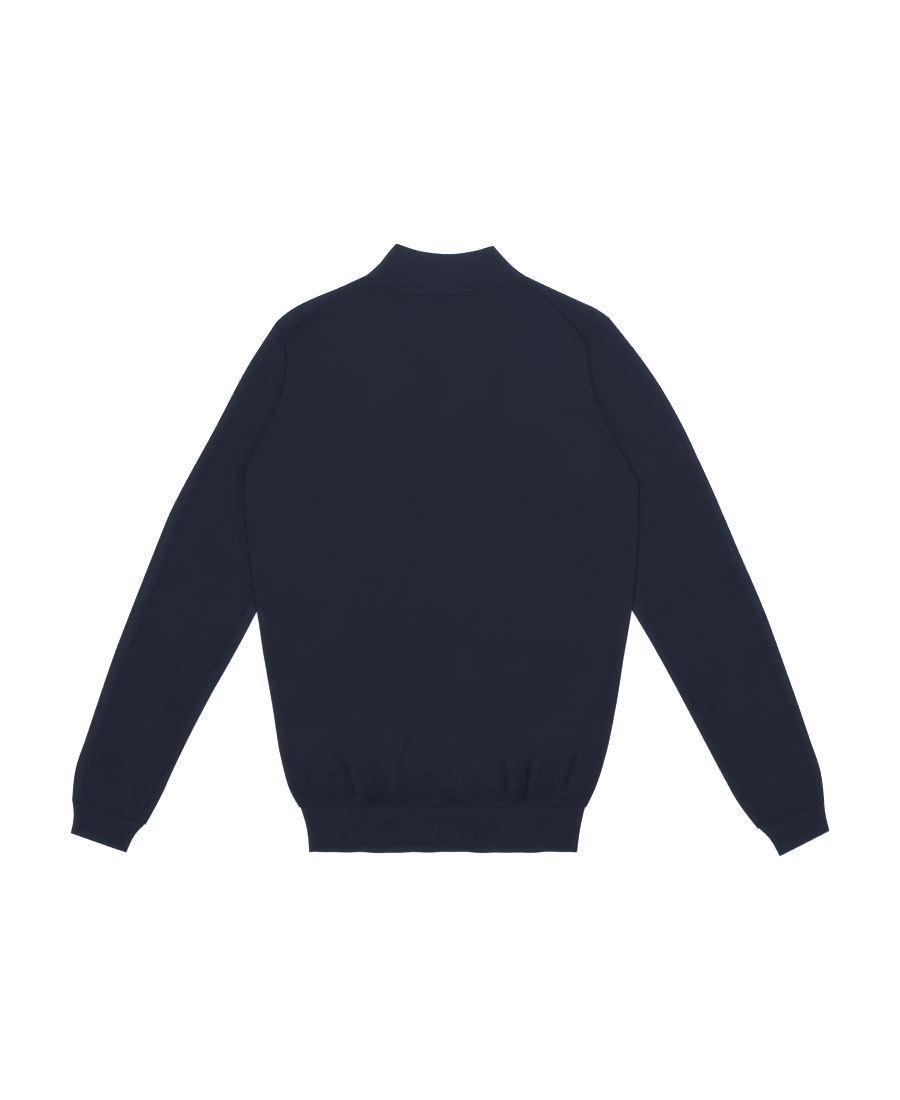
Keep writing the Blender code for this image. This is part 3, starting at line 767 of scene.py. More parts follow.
back_armhole, back_side = back_sides(back_line)
back_shoulder = (
    backwards(back_line, corner("shoulder_seam", L), corner("neck_seam", L)),
    backwards(back_line, corner("neck_seam", R), corner("shoulder_seam", R)),
)
back_neck = backwards(back_line, corner("neck_seam", L), corner("neck_seam", R))
back_hem = onwards(back_line, corner("body_hem", L), corner("body_hem", R))
for name, line in (("armhole", back_armhole[L]), ("side", back_side[L]),
                   ("shoulder seam", back_shoulder[L]), ("neck", back_neck)):
    print(f"{name}: {lengths(line)[-1] / MM:.0f} mm")

# %% Build the back panel
ARMHOLE_RIDGES = ((0.6, 9.0), (0.7, 8.0))        # rise and width, in millimetres
COARSE_STEP, FINE_STEP = 3.6 * MM, 2.0 * MM
GATHERED = 125 * MM                   # the part above the rib that is finely gridded


def gathered_rows(length, fine=FINE_STEP, coarse=COARSE_STEP):
    """Fractions down a side, with closer rows where the cloth is gathered."""
    upper = (length - GATHERED) * fractions(length - GATHERED, step=coarse)
    lower = GATHERED * fractions(GATHERED, last=SEAM_ROWS, step=fine)
    return np.concatenate((upper, length - GATHERED + lower[1:])) / length


ARMHOLE_DOWN = fractions(lengths(back_armhole[L])[-1], SEAM_ROWS, step=COARSE_STEP)
SIDE_DOWN = gathered_rows(lengths(back_side[L])[-1])
ACROSS = fractions(lengths(back_hem)[-1], (0.0, REACH), (0.0, REACH), 2.2 * MM)


def spread(lines, across, breaks):
    """Points of several lines in a row, at the columns that lie between the breaks."""
    stops = [0, *(int(np.argmin(abs(across - share))) for share in breaks),
             len(across) - 1]
    return joined([stations(line, (across[a:b + 1] - across[a]) / (across[b] - across[a]))
                   for line, a, b in zip(lines, stops, stops[1:])])


def spread_down(armhole, side):
    return joined([stations(armhole, ARMHOLE_DOWN), stations(side, SIDE_DOWN)])


def share_down(left, right):
    """How far down each row is, from 0 to 1, between the two sides."""
    a, b = lengths(left), lengths(right)
    return (a / a[-1] + b / b[-1]) / 2


def body_stitches(rows):
    """Stitches counted straight across and up the body."""
    plan = unrolled(rows, BODY_HALF)
    return np.dstack((plan[..., 0] / WALE, plan[..., 1] / COURSE,
                      np.zeros(plan.shape[:2])))


left, right = (spread_down(back_armhole[s], back_side[s]) for s in (L, R))
top = spread((back_shoulder[L], back_neck, back_shoulder[R]), ACROSS,
             (NECK_START, NECK_END))
back_plan = grid(top, stations(back_hem, ACROSS), left, right, ACROSS,
                 share_down(left, right))
below_arm = np.arange(len(left)) >= len(ARMHOLE_DOWN)
back_plan = drawn_shut(back_plan, SEAM_CLOSE)
rows = turned(back_plan, np.full(len(left), BODY_HALF), below_arm, below_arm)
points = rows.centre
free_side = [line[nearest(line, corner("sleeve_parts", side)):]
             for side, line in enumerate(back_side)]
back_seams = (*back_armhole, *back_shoulder, back_neck, back_hem)
lift = puffed(points) + creased(points, BACK_CREASES + SEAM_CREASES + SEAM_DIPS)
lift = lift + waved(points) * calm(points, back_seams)
lift = lift + beside(points, back_neck, 0.7, 7.0)
for side in (L, R):
    lift = lift + beside(points, back_armhole[side], *ARMHOLE_RIDGES[side], 0.3)
    lift = lift + beside(points, back_shoulder[side], 0.5, 4.5, 0.2)
    lift = lift + rolled_off(points, free_side[side])
lift = np.maximum(lift, -LOWEST_SINK)
outer, inner = lay(rows, BODY_HALF, BODY_WALL, 1, lift)
knit = with_highlight(body_stitches(rows), points, free_side)
back = cloth("back", [Sheet(outer, inner, knit)], jersey, "jersey")
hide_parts("back_panel")

# %% [markdown]
# ## The front panel
#
# The front lies under the back. At the shoulders it rolls over the fold and comes
# forward on top, as two narrow strips that are linked to the back at the shoulder
# seams. Those folds run across the columns of the grid, so there the first row is
# spread round the fold in the same way as the ends of the rows are. The strips start
# from the very points of the under sheet's fold, which makes it one cloth.

# %% Build the front panel
SHOULDER_SHADES = ((Crease(-152, 290, -205, 252, -2.0, 6.0, 1.0),
                    Crease(-150, 305, -206, 270, 1.1, 7.5, 0.0)),
                   (Crease(132, 293, 172, 252, -0.9, 5.0, -1.0),))
FRONT_STEP = 4.5 * MM
STRIP_START = 2.3 * MM          # where the strips' plain rows start at the neck
UNDER_SHARE = 0.35              # of a wave's height is left where cloth lies on the floor
front_line = outline("front_panel", (0, 0, 0), up=False)
front_shoulder = (onwards(front_line, corner("shoulder_tip", L), corner("shoulder_seam", L)),
                  backwards(front_line, corner("shoulder_tip", R), corner("shoulder_seam", R)))
front_arm = (onwards(front_line, corner("shoulder_seam", L), corner("underarm", L)),
             backwards(front_line, corner("shoulder_seam", R), corner("underarm", R)))
front_low = (onwards(front_line, corner("underarm", L), corner("body_hem", L)),
             backwards(front_line, corner("underarm", R), corner("body_hem", R)))
front_fold = (backwards(front_line, corner("shoulder_tip", L), corner("neck_fold", L)),
              backwards(front_line, corner("neck_fold", R), corner("shoulder_tip", R)))
front_neck = backwards(front_line, corner("neck_fold", L), corner("neck_fold", R))
front_hem = onwards(front_line, corner("body_hem", L), corner("body_hem", R))
tip_down = fractions(lengths(front_shoulder[L])[-1], (0.0, REACH), step=FRONT_STEP)
arm_down = fractions(lengths(front_arm[L])[-1], step=FRONT_STEP)
low_down = gathered_rows(lengths(front_low[L])[-1], 3.0 * MM, FRONT_STEP)
left, right = (joined([stations(front_shoulder[s][[0, -1]], tip_down),
                       stations(front_arm[s], arm_down),
                       stations(front_low[s], low_down)]) for s in (L, R))
top = spread((front_fold[L], front_neck, front_fold[R]), ACROSS, (NECK_START, NECK_END))
front_plan = grid(top, stations(front_hem, ACROSS), left, right, ACROSS,
                  share_down(left, right))
stops = [int(np.argmin(abs(ACROSS - share))) for share in (NECK_START, NECK_END)]
columns = np.arange(len(ACROSS))
over_shoulder = (columns <= stops[0]) | (columns >= stops[1])
below_arm = np.arange(len(left)) >= len(tip_down) + len(arm_down) - 1
rows = turned_at_top(drawn_shut(front_plan), BODY_HALF, over_shoulder, below_arm,
                     below_arm)
hollows = np.maximum(0, waved(rows.centre[..., ::-1])) * UNDER_SHARE
outer, inner = lay(rows, BODY_HALF, BODY_WALL, -1, -hollows)
front_folds = (*front_low, *front_fold)
knit = with_highlight(body_stitches(rows), rows.centre, front_folds)
front_sheets = [Sheet(outer, inner, knit)]
for side, ends in ((L, (slice(0, stops[0] + 1), slice(0, stops[0] + TURNS))),
                   (R, (slice(stops[1], None), slice(stops[1] + TURNS - 1, None)))):
    line = outline("front_panel", ((-160, 290, 4), (150, 292, 4))[side])
    tip, seam_end = corner("shoulder_tip", side), corner("shoulder_seam", side)
    at_fold, at_seam = corner("neck_fold", side), corner("neck_seam", side)
    if side == L:
        seam = onwards(line, seam_end, at_seam)
        sleeve_end, neck_end = onwards(line, tip, seam_end), backwards(line, at_fold, at_seam)
        first_end, last_end = False, None
    else:
        seam = onwards(line, at_seam, seam_end)
        sleeve_end, neck_end = backwards(line, tip, seam_end), onwards(line, at_fold, at_seam)
        first_end, last_end = None, False
    sleeve_end = sleeve_end[[0, -1]]
    sides = (sleeve_end, neck_end) if side == L else (neck_end, sleeve_end)
    share = ACROSS[ends[0]]
    share = (share - share[0]) / (share[-1] - share[0])
    narrowing = lengths(sleeve_end)[-1] / lengths(neck_end)[-1]
    start = max(REACH, STRIP_START * narrowing)
    down = fractions(lengths(sleeve_end)[-1], (0.0, start), SEAM_ROWS)
    plan = grid(stations(front_fold[side], share), stations(seam, share),
                stations(sides[0], down), stations(sides[1], down), share, down)
    flags = [None if end is None else np.full(len(down), end) for end in (first_end, last_end)]
    strip = turned_at_top(drawn_shut(plan), BODY_HALF, np.full(len(share), True), *flags)
    points = strip.centre
    lift = beside(points, seam, -0.35, 5.0) + creased(points, SHOULDER_SHADES[side])
    lift = lift + rolled_off(points, front_fold[side])
    lift = lift * calm(points, (neck_end,)) + beside(points, neck_end, 0.7, 7.0)
    lift = np.maximum(lift, -LOWEST_SINK)
    outer, inner = lay(strip, BODY_HALF, BODY_WALL, 1, lift)
    for mine, whole in ((outer, front_sheets[0].outer), (inner, front_sheets[0].inner)):
        mine[0] = whole[0, ends[1]]
    knit = with_highlight(body_stitches(strip), points, front_folds)
    front_sheets.append(Sheet(outer, inner, knit))
front = cloth("front", front_sheets, jersey, "jersey")
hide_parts("front_panel")

# %% [markdown]
# ## The sleeves
#
# Each sleeve is a flat tube. Its outer side is one long fold, and its inner side is
# the armhole seam first, then a fold that lies against the body, and then a fold on
# its own. So every row runs from the outer fold to one of these.

# %% Build the sleeves
HeadFold = namedtuple("HeadFold", "sink width rise roll off")
ARMHOLE_FOLDS = (HeadFold(-1.8, 4.0, 1.4, 5.0, 9.5),     # left, in millimetres
                 HeadFold(-1.5, 4.2, 0.7, 8.0, 15.0))
CONTACT_FOLDS = (HeadFold(-1.8, 3.8, 1.1, 4.8, 9.0),
                 HeadFold(-1.4, 4.2, 0.5, 8.0, 13.0))
TOUCH = -0.065 * MM                 # folds that touch press into each other a little
STRIP_CLOSE = 0.6 * MM              # the sleeve head tucks under the shoulder strip
CUFF_EASE, CUFF_EASE_REACH = (0.5 * MM, 1.65 * MM), 9 * MM
SLEEVE_CREASES = {
    L: (
        Crease(-330, 60, -372, -40, 0.40, 13.0, 5.0),
        Crease(-262, 190, -300, 90, 0.40, 12.0, -5.0),
        Crease(-345, -120, -390, -215, -0.35, 11.0, 4.0),
        Crease(-430, -230, -437, -300, -0.55, 5.0, 2.0),
        Crease(-405, -262, -413, -316, -0.50, 4.5, -2.0),
        Crease(-392, -240, -388, -322, 0.45, 5.0, 2.0),
        Crease(-448, -262, -452, -303, 0.40, 4.0, 0.0),
    ),
    R: (
        Crease(300, 90, 352, -20, 0.40, 13.0, -5.0),
        Crease(240, 200, 282, 80, 0.40, 12.0, 5.0),
        Crease(345, -110, 385, -205, -0.35, 11.0, -4.0),
        Crease(384, -236, 374, -262, 0.40, 4.0, 1.0),
        Crease(394, -246, 382, -276, 0.40, 4.0, 1.0),
        Crease(404, -258, 391, -290, 0.40, 4.0, 1.0),
        Crease(412, -272, 400, -303, 0.35, 4.0, 1.0),
        Crease(430, -250, 436, -308, -0.50, 5.0, -2.0),
        Crease(444, -262, 449, -306, 0.40, 4.0, 0.0),
    ),
}


def long_sides(line, side, legs):
    """Chains of stretches down a side, each between two named corners."""
    way = (onwards, backwards)
    return [way[turn](line, corner(a, side), corner(b, side)) for turn, a, b in legs]


def tube(name, plans, half, wall, last, lifts, ribs, stitches, lines, free, finish):
    """Two layers that share a fold along their first ends, and along their last ends
    where last says so. lifts and ribs are functions of the rows of either layer, and
    lines are the folds and edges that get a painted highlight."""
    sheets = []
    folded = np.full(len(plans[0]), True)
    for plan, side, lift, rib in zip(plans, (1, -1), lifts, ribs):
        rows = turned(plan, half, folded, last, -TUCK if side > 0 else -SEAM_CLOSE)
        outer, inner = lay(rows, half, wall, side, lift(rows), rib(rows))
        knit = with_highlight(stitches(rows, side), rows.centre, lines)
        sheets.append(Sheet(outer, inner, knit))
    over, under = sheets
    for top, low in ((over.outer, under.outer), (over.inner, under.inner)):
        low[:, 0] = top[:, 0]
        low[last, -1] = top[last, -1]
    return cloth(name, sheets, *finish, free=free)


def none(rows):
    return 0.0


def hollowed(rows):
    """Shallow hollows under a layer that lies on the floor."""
    return -np.maximum(0, waved(rows.centre[..., ::-1])) * UNDER_SHARE


def sleeve_stitches(rows, side):
    """Stitches counted across each row, and up the sleeve along its middle."""
    middle = rows.centre[:, rows.centre.shape[1] // 2]
    open_plan = unrolled(rows, BODY_HALF)
    across = np.linalg.norm(open_plan - open_plan[:, :1], axis=-1)
    up = np.broadcast_to(lengths(middle)[:, None], across.shape)
    return np.dstack((across / WALE, -up / COURSE, np.zeros(across.shape)))


def narrowed(outer, inner):
    """Ease the sleeve's last stretch towards the cuff, so that no step shows."""
    eased = []
    for line, other, most in zip((outer, inner), (inner, outer), CUFF_EASE):
        left = lengths(line)[-1] - lengths(line)
        way = (other[-1] - line[-1]) / np.linalg.norm(other[-1] - line[-1])
        ease_in = most * np.exp(-(left / CUFF_EASE_REACH) ** 2)
        eased.append(line + way * ease_in[:, None])
    return eased


def against_body(side):
    """The stretch where the sleeve lies against the body's side, drawn from the
    body's own line, so that the two folds touch all the way."""
    line = curve(back_side[side])
    line = line[:nearest(line, corner("sleeve_parts", side)) + 1]
    run = np.gradient(line, axis=0)
    out = np.column_stack((run[:, 1], -run[:, 0])) * (1 if side == L else -1)
    out = out / np.linalg.norm(out, axis=1, keepdims=True)
    line = line + out * (2 * FOLD_PRESS + TOUCH)
    return np.vstack((line[:-8:8], line[-1:]))


def build_sleeve(side, node, name):
    outer_turn, inner_turn = (0, 1) if side == L else (1, 0)
    place = (-330, 0) if side == L else (325, 0)
    plans, downs = [], None
    for up in (True, False):
        line = outline(node, (*place, 4 if up else 0), up)
        outer = long_sides(line, side, (
            (outer_turn, "shoulder_tip", "by_underarm"),
            (outer_turn, "by_underarm", "by_parting"),
            (outer_turn, "by_parting", "sleeve_outer_end")))
        inner = long_sides(line, side, (
            (inner_turn, "shoulder_seam", "underarm"),
            (inner_turn, "underarm", "sleeve_parts"),
            (inner_turn, "sleeve_parts", "sleeve_inner_end")))
        strip = long_sides(line, side, ((inner_turn, "shoulder_tip", "shoulder_seam"),))[0]
        strip = strip[[0, -1]]
        cuff = long_sides(line, side, ((outer_turn, "sleeve_outer_end",
                                        "sleeve_inner_end"),))[0]
        inner[1] = against_body(side)
        inner[0] = np.vstack((inner[0][:-1], inner[1][:1]))
        inner[2] = np.vstack((inner[1][-1:], inner[2][1:]))
        if up:
            sizes = [lengths(part)[-1] for part in inner]
            downs = [fractions(sizes[0], SEAM_ROWS), fractions(sizes[1]),
                     fractions(sizes[2], last=SEAM_ROWS)]
            wide = np.linalg.norm(outer[1][0] - inner[1][0])
            across = fractions(wide, (0.0, REACH * 2.0), (0.0, REACH * 1.6))
            armhole, contact, inner_fold = inner
            outer_fold = joined(outer)
            outer[2], inner[2] = narrowed(outer[2], inner[2])
        outer, inner = (joined([stations(part, down) for part, down in zip(parts, downs)])
                        for parts in (outer, inner))
        cuff = np.vstack((outer[-1:], cuff[1:-1], inner[-1:]))
        plan = grid(stations(strip, across), stations(cuff, across), outer, inner,
                    across, share_down(outer, inner))
        plans.append(drawn_shut(plan, STRIP_CLOSE))
    last = np.arange(len(plans[0])) >= len(downs[0]) - 1

    def top_lift(rows):
        points = rows.centre
        lift = creased(points, SLEEVE_CREASES[side] + SHOULDER_SHADES[side])
        lift = lift + waved(points[..., ::-1]) * calm(points, (armhole, contact, cuff))
        for line, fold in ((armhole, ARMHOLE_FOLDS[side]), (contact, CONTACT_FOLDS[side])):
            lift = lift + calm(points, (strip,)) * (
                beside(points, line, fold.sink, fold.width)
                + beside(points, line, fold.rise, fold.roll, off=fold.off))
        lift = lift + rolled_off(points, outer_fold) + rolled_off(points, inner_fold)
        return np.maximum(lift, -LOWEST_SINK)

    piece = tube(name, plans, np.full(len(plans[0]), BODY_HALF), BODY_WALL, last,
                 (top_lift, hollowed), (none, none), sleeve_stitches,
                 (outer_fold, inner_fold), (), (jersey, "jersey"))
    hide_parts(node)
    return piece


sleeve_left = build_sleeve(L, "sleeve_left", "left_sleeve")
sleeve_right = build_sleeve(R, "sleeve_right", "right_sleeve")

# %% [markdown]
# ## Ribbing
#
# Ribbing alternates columns that stand up with columns that sink back, which lets it
# stretch and pull in. Six columns of the grid go to each rib, so its crest is round.
# All bands keep the same ribs to the centimetre. Underneath, the cloth rests on its
# crests, so there the valleys go up into the band.

# %% Ribs across a band
RIB_STEPS = 6
RIB_STEP_DOWN = 2.6 * MM
FOLD_CLEARANCE = 0.2 * MM
RIB_SHARPNESS = 0.8


def rib_columns(left, right, half):
    """Columns across a band for its ribs, and how high each stands from 0 to 1."""
    width = np.linalg.norm(left - right, axis=1).min()
    margin = (FOLD_CLEARANCE + half) / width
    ribs = round((1 - 2 * margin) * width / RIB_PITCH)
    turn = np.arange(1, RIB_STEPS * ribs) / RIB_STEPS
    across = np.concatenate(([0], margin + (1 - 2 * margin) * turn / ribs, [1]))
    fold = np.zeros(TURNS)
    crest = np.concatenate((fold, abs(np.sin(np.pi * turn)) ** RIB_SHARPNESS, fold))
    round_fold = (np.pi / 2 - FOLD_ANGLES) * half / RIB_PITCH
    count = np.concatenate((-round_fold, turn, ribs + round_fold[::-1]))
    return across, crest, count


def rib_relief(crest, side):
    """The top's crests stand proud, and the underside's valleys sink in."""
    height = crest * RIB_RISE if side > 0 else (crest - 1) * RIB_RISE * 0.7
    inside = np.zeros(len(crest))
    inside[TURNS:-TURNS] = height[TURNS:-TURNS]
    return lambda rows: inside[None, :]


def rib_stitches(count):
    """One column of stitches on each crest and one in each valley."""
    def counted(rows, side):
        middle = rows.centre[:, rows.centre.shape[1] // 2]
        across = np.broadcast_to(count * 2 - 0.5, rows.angle.shape)
        up = np.broadcast_to(lengths(middle)[:, None], rows.angle.shape)
        return np.dstack((across, up / COURSE, np.zeros(across.shape)))
    return counted


print(f"a rib is {RIB_PITCH / MM} mm wide and {RIB_RISE / MM} mm high")

# %% Build the collar
CollarLevel = namedtuple("CollarLevel", "share half wall")
COLLAR_LEVELS = (
    CollarLevel(0.0, 2.0 * MM, 1.4 * MM),
    CollarLevel(0.28, 2.7 * MM, 2.1 * MM),
    CollarLevel(1.0, 2.6 * MM, 2.1 * MM),
)
COLLAR_CLOSE = 0.5 * MM             # the collar's edge lies on the neck's
collar_plans = []
for up in (True, False):
    line = outline("collar", (-10, 350, 5.4 if up else 0), up)
    left = onwards(line, corner("collar_top", L), corner("neck_fold", L))[::-1]
    right = backwards(line, corner("collar_top", R), corner("neck_fold", R))[::-1]
    seam = onwards(line, corner("neck_fold", L), corner("neck_fold", R))
    edge = backwards(line, corner("collar_top", L), corner("collar_top", R))
    if up:
        collar_down = fractions(lengths(left)[-1], SEAM_ROWS, (0.0, 0.8 * MM, 1.8 * MM),
                                RIB_STEP_DOWN)
        collar_seam, collar_folds, collar_edge = seam, (left, right), edge
    front_edge = edge
    sides = [stations(side, collar_down) for side in (left, right)]
    if up:
        across, crest, count = rib_columns(*sides, 2.7 * MM)
    plan = grid(stations(seam, across), stations(edge, across), *sides, across,
                collar_down)
    collar_plans.append(drawn_shut(plan, COLLAR_CLOSE, 0.0))
levels = np.array(COLLAR_LEVELS)
collar_half, collar_wall = (np.interp(collar_down, levels[:, 0], levels[:, k])
                            for k in (1, 2))
for plan in collar_plans[:1]:
    plan[-1, 1:-1, 1] += 0.45 * MM * (crest[TURNS:-TURNS] - 0.6)


def collar_lift(rows):
    lift = beside(rows.centre, collar_seam, 0.7, 7.0)
    lift = lift + 0.6 * waved(rows.centre * 2.0) * calm(rows.centre, (collar_seam,))
    clear = calm(rows.centre, (collar_seam,))
    for line in collar_folds:
        lift = lift + 0.8 * clear * rolled_off(rows.centre, line)
    return lift


collar = tube("neck_ribbing", collar_plans, collar_half, collar_wall[:, None],
              np.full(len(collar_down), True), (collar_lift, none),
              (rib_relief(crest, 1), rib_relief(crest, -1)), rib_stitches(count),
              (*collar_folds, collar_edge), (collar_edge, front_edge),
              (ribbing, "rib"))
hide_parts("collar")

# %% [markdown]
# The collar is linked to the body loop by loop, which leaves a fine chain along the
# seam: one slanted leg of yarn to the left and one to the right of it for every
# stitch. Each leg is a small rounded bead that is laid on whatever cloth lies below.

# %% Link the collar to the body
LINK_STEP = 1.5 * MM
LINK_ASIDE, LINK_TURN = 0.34 * MM, np.radians(28)
LINK_SIZE = np.array((1.0, 0.36, 0.26)) * MM           # half sizes of a leg
LINK_STITCH = (0.25, 0.5)


def surface_height(place, names):
    """The highest cloth of the named pieces under a place in plan."""
    tops = [pieces[name].ray_cast((*place, 1.0), (0, 0, -1)) for name in names]
    return max((spot.z for found, spot, _, _ in tops if found), default=None)


def linked(name, line, names):
    """A chain of linking stitches along a seam."""
    bpy.context.view_layer.update()
    bm = bmesh.new()
    uv = bm.loops.layers.uv.new("knit")
    painted_highlight = bm.loops.layers.uv.new("painted_highlight")
    count = round(lengths(line)[-1] / LINK_STEP)
    places = stations(line, (np.arange(count) + 0.5) / count)
    runs = np.gradient(places, axis=0)
    for place, run in zip(places, runs / np.linalg.norm(runs, axis=1, keepdims=True)):
        heading = np.arctan2(run[1], run[0])
        for aside in (1, -1):
            x, y = place + aside * LINK_ASIDE * np.array((-run[1], run[0]))
            z = surface_height((x, y), names)
            if z is not None:
                turn = heading - aside * LINK_TURN
                shape = (Matrix.Translation((x, y, z)) @ Matrix.Rotation(turn, 4, "Z")
                         @ Matrix.Diagonal((*LINK_SIZE, 1.0)))
                bmesh.ops.create_icosphere(bm, subdivisions=1, radius=1.0, matrix=shape)
    # Each leg takes its colour from near a stitch's crest, away from the painted shade of the
    # hollows, and gets the same small painted highlight.
    for face in bm.faces:
        for loop in face.loops:
            loop[uv].uv, loop[painted_highlight].uv = LINK_STITCH, (0.2, 0.0)
    print(f"{name}: {count} stitches, {len(bm.faces)} triangles")
    return finished(bm, name, ribbing)


linked("collar_linking", collar_seam, ("neck_ribbing", "back", "front"))

# %% Build the hem's bands
HEM_WAVES = (Wave(7.0, 0, 0.3, 0.5), Wave(17.0, 0, 0.1, 0.35), Wave(31.0, 0, 0.6, 0.25))


def hem_band(node, name, up):
    line = outline(node, (0, -340, 4.6 if up else 0), up)
    left = onwards(line, corner("rib_seam", L), corner("rib_end", L))
    right = backwards(line, corner("rib_seam", R), corner("rib_end", R))
    seam = backwards(line, corner("rib_seam", L), corner("rib_seam", R))
    edge = onwards(line, corner("rib_end", L), corner("rib_end", R))
    down = fractions(lengths(left)[-1], SEAM_ROWS, (0.0, 0.8 * MM, 1.8 * MM), RIB_STEP_DOWN)
    folds = left, right
    left, right = stations(left, down), stations(right, down)
    across, crest, count = rib_columns(left, right, RIB_HALF)
    plan = grid(stations(seam, across), stations(edge, across), left, right, across, down)
    for wave in HEM_WAVES:
        phase = plan[..., 0] * wave.across + wave.shift
        shift = wave.rise * MM * np.sin(2 * np.pi * phase) * ease(across * (1 - across) * 40)
        plan[..., 1] += shift * (down ** 2)[:, None]
    plan = drawn_shut(plan, SEAM_CLOSE, 0.0)
    folded = np.full(len(down), True)
    rows = turned(plan, np.full(len(down), RIB_HALF), folded, folded)
    side = 1 if up else -1
    lift = 0.0
    if up:
        lift = beside(rows.centre, seam, SEAM_STAND, 20.0) + creased(rows.centre, SEAM_DIPS)
        lift = lift + waved(rows.centre * 2.0) * calm(rows.centre, (seam,))
        lift = lift + rolled_off(rows.centre, folds[0])
        lift = np.maximum(lift + rolled_off(rows.centre, folds[1]), -LOWEST_SINK)
    outer, inner = lay(rows, RIB_HALF, RIB_WALL, side, lift, rib_relief(crest, side)(rows))
    knit = with_highlight(rib_stitches(count)(rows, side), rows.centre, (*folds, edge))
    piece = cloth(name, [Sheet(outer, inner, knit)], ribbing, "rib", up, (edge,))
    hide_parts(node)
    return piece


hem_back = hem_band("hem_rib_back", "back_hem_ribbing", True)
hem_front = hem_band("hem_rib_front", "front_hem_ribbing", False)

# %% Build the cuffs
CUFF_PLACES = ((-424, -338, 4.6), (425, -341, 4.6))


def widened(outer, inner):
    """Ease the start of the cuff towards the sleeve's width."""
    eased = []
    for line, other, most in zip((outer, inner), (inner, outer), CUFF_EASE):
        way = (line[0] - other[0]) / np.linalg.norm(line[0] - other[0])
        ease_out = most * np.exp(-(lengths(line) / CUFF_EASE_REACH) ** 2)
        eased.append(line + way * ease_out[:, None])
    return eased


def build_cuff(side, node, name):
    plans = []
    turn, back_turn = (0, 1) if side == L else (1, 0)
    for up in (True, False):
        place = CUFF_PLACES[side]
        line = outline(node, place if up else (*place[:2], 0), up)
        outer, inner, seam, edge = long_sides(line, side, (
            (turn, "cuff_outer_seam", "cuff_outer_end"),
            (back_turn, "cuff_inner_seam", "cuff_inner_end"),
            (back_turn, "cuff_outer_seam", "cuff_inner_seam"),
            (turn, "cuff_outer_end", "cuff_inner_end")))
        if up:
            down = fractions(lengths(outer)[-1], SEAM_ROWS, (0.0, 0.8 * MM, 1.8 * MM),
                             RIB_STEP_DOWN)
            across, crest, count = rib_columns(stations(outer, down),
                                               stations(inner, down), RIB_HALF)
            folds = outer, inner
        outer, inner = widened(stations(outer, down), stations(inner, down))
        seam = np.vstack((outer[:1], seam[1:-1], inner[:1]))
        plan = grid(stations(seam, across), stations(edge, across), outer, inner, across,
                    down)
        plans.append(drawn_shut(plan, SEAM_CLOSE, 0.0))

    def lift(rows):
        lift = waved(rows.centre * 2.0) * calm(rows.centre, (seam,))
        for line in folds:
            lift = lift + 0.8 * rolled_off(rows.centre, line)
        return np.maximum(lift, -LOWEST_SINK)

    piece = tube(name, plans, np.full(len(down), RIB_HALF), RIB_WALL,
                 np.full(len(down), True), (lift, none),
                 (rib_relief(crest, 1), rib_relief(crest, -1)), rib_stitches(count),
                 (*folds, edge), (edge,), (ribbing, "rib"))
    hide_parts(node)
    return piece


cuff_left = build_cuff(L, "cuff_left", "left_cuff")
cuff_right = build_cuff(R, "cuff_right", "right_cuff")

# %% [markdown]
# ## The cut
#
# Each piece is knitted flat to its shape before it is linked, so its cut is stated as
# a width, a length and an area. The sleeves, the cuffs and the collar are counted all
# round, and the front with the strips that come over the shoulders. Half the surface
# of a finished piece is its cloth, which is printed beside its cut.

# %% State each piece's cut
Cut = namedtuple("Cut", "width length area")
CUTS = {
    "back": Cut(0.484, 0.645, 0.262),
    "front": Cut(0.484, 0.690, 0.266),
    "left_sleeve": Cut(0.290, 0.665, 0.122),
    "right_sleeve": Cut(0.320, 0.670, 0.137),
    "neck_ribbing": Cut(0.390, 0.052, 0.0186),
    "back_hem_ribbing": Cut(0.348, 0.056, 0.0192),
    "front_hem_ribbing": Cut(0.348, 0.056, 0.0190),
    "left_cuff": Cut(0.152, 0.044, 0.0064),
    "right_cuff": Cut(0.148, 0.043, 0.0058),
}
for name, cut in CUTS.items():
    piece = pieces[name]
    cloth_area = sum(face.area for face in piece.data.polygons) / 2
    print(f"{name}: cut {cut.area:.4f} m2, made {cloth_area:.4f} m2")

# %% [markdown]
# ## The floor and the light
#
# The picture is cut out on white, so the floor is a plain pale surface. The light is
# soft and comes mostly from beyond the collar, which makes the collar the lightest
# part and leaves a shade below the gathers. Two long panels at the sides catch the
# cloth where it rolls over its folds, and the white surroundings fill the rest.

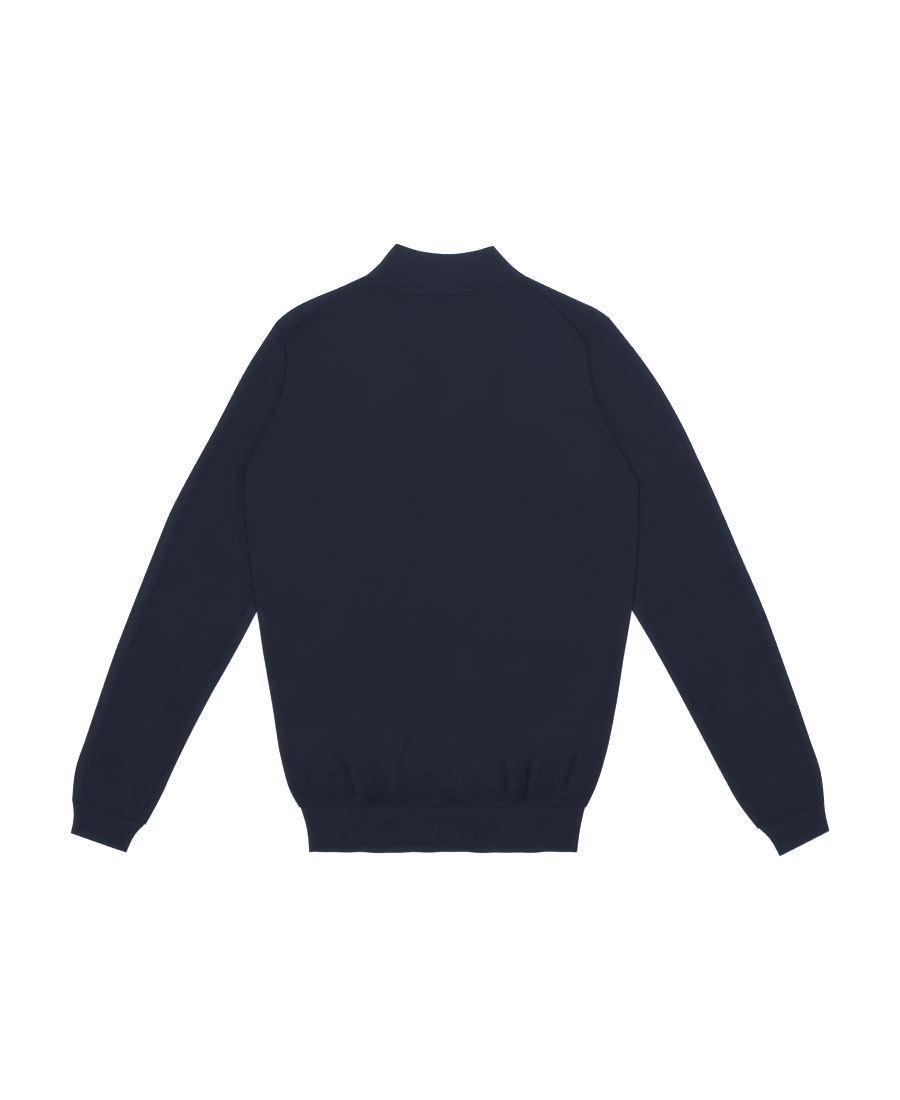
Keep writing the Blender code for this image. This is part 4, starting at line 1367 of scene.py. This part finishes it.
# %% Floor, lights and surroundings
FLOOR_SIZE = 60.0
FLOOR_WHITE, FLOOR_GLOW = 0.9, 0.7
WORLD_LIGHT = 0.37
Panel = namedtuple("Panel", "x y z width depth watts")
PANELS = (
    Panel(0.75, 1.45, 1.05, 1.2, 0.5, 53.0),     # beyond the collar, to its right
    Panel(-3.2, 0.2, 0.95, 1.0, 2.4, 165.0),     # far on the left, for the relief
    Panel(1.6, -0.1, 0.40, 0.4, 2.0, 9.0),
    Panel(0.2, -1.9, 1.2, 2.0, 0.6, 9.0),        # a weak one at the hem
)

floor_bm = bmesh.new()
bmesh.ops.create_grid(floor_bm, x_segments=1, y_segments=1, size=FLOOR_SIZE / 2)
bmesh.ops.translate(floor_bm, verts=floor_bm.verts, vec=(0, 0, -0.1 * MM))
floor_mesh = bpy.data.meshes.new("floor")
floor_bm.to_mesh(floor_mesh)
floor_bm.free()
floor = bpy.data.objects.new("floor", floor_mesh)
bpy.context.collection.objects.link(floor)
pale = bpy.data.materials.new("pale_floor")
pale.use_nodes = True
paint = pale.node_tree.nodes["Principled BSDF"].inputs
paint["Base Color"].default_value = (FLOOR_WHITE, FLOOR_WHITE, FLOOR_WHITE, 1)
paint["Roughness"].default_value = 0.9
paint["Specular IOR Level"].default_value = 0.0
paint["Emission Color"].default_value = (1, 1, 1, 1)
paint["Emission Strength"].default_value = FLOOR_GLOW
floor_mesh.materials.append(pale)

for number, panel in enumerate(PANELS):
    light = bpy.data.lights.new(f"panel_{number}", "AREA")
    light.shape, light.size, light.size_y = "RECTANGLE", panel.width, panel.depth
    light.energy = panel.watts
    lamp = bpy.data.objects.new(light.name, light)
    lamp.location = (panel.x, panel.y, panel.z)
    lamp.rotation_euler = (-lamp.location).to_track_quat("-Z", "Y").to_euler()
    bpy.context.collection.objects.link(lamp)

world = bpy.data.worlds.new("surroundings")
world.use_nodes = True
world.node_tree.nodes["Background"].inputs["Color"].default_value = (0.97, 0.98, 1.0, 1)
world.node_tree.nodes["Background"].inputs["Strength"].default_value = WORLD_LIGHT
bpy.context.scene.world = world
bpy.context.scene.view_settings.view_transform = "Standard"
print(f"{len(PANELS)} light panels over a pale floor")
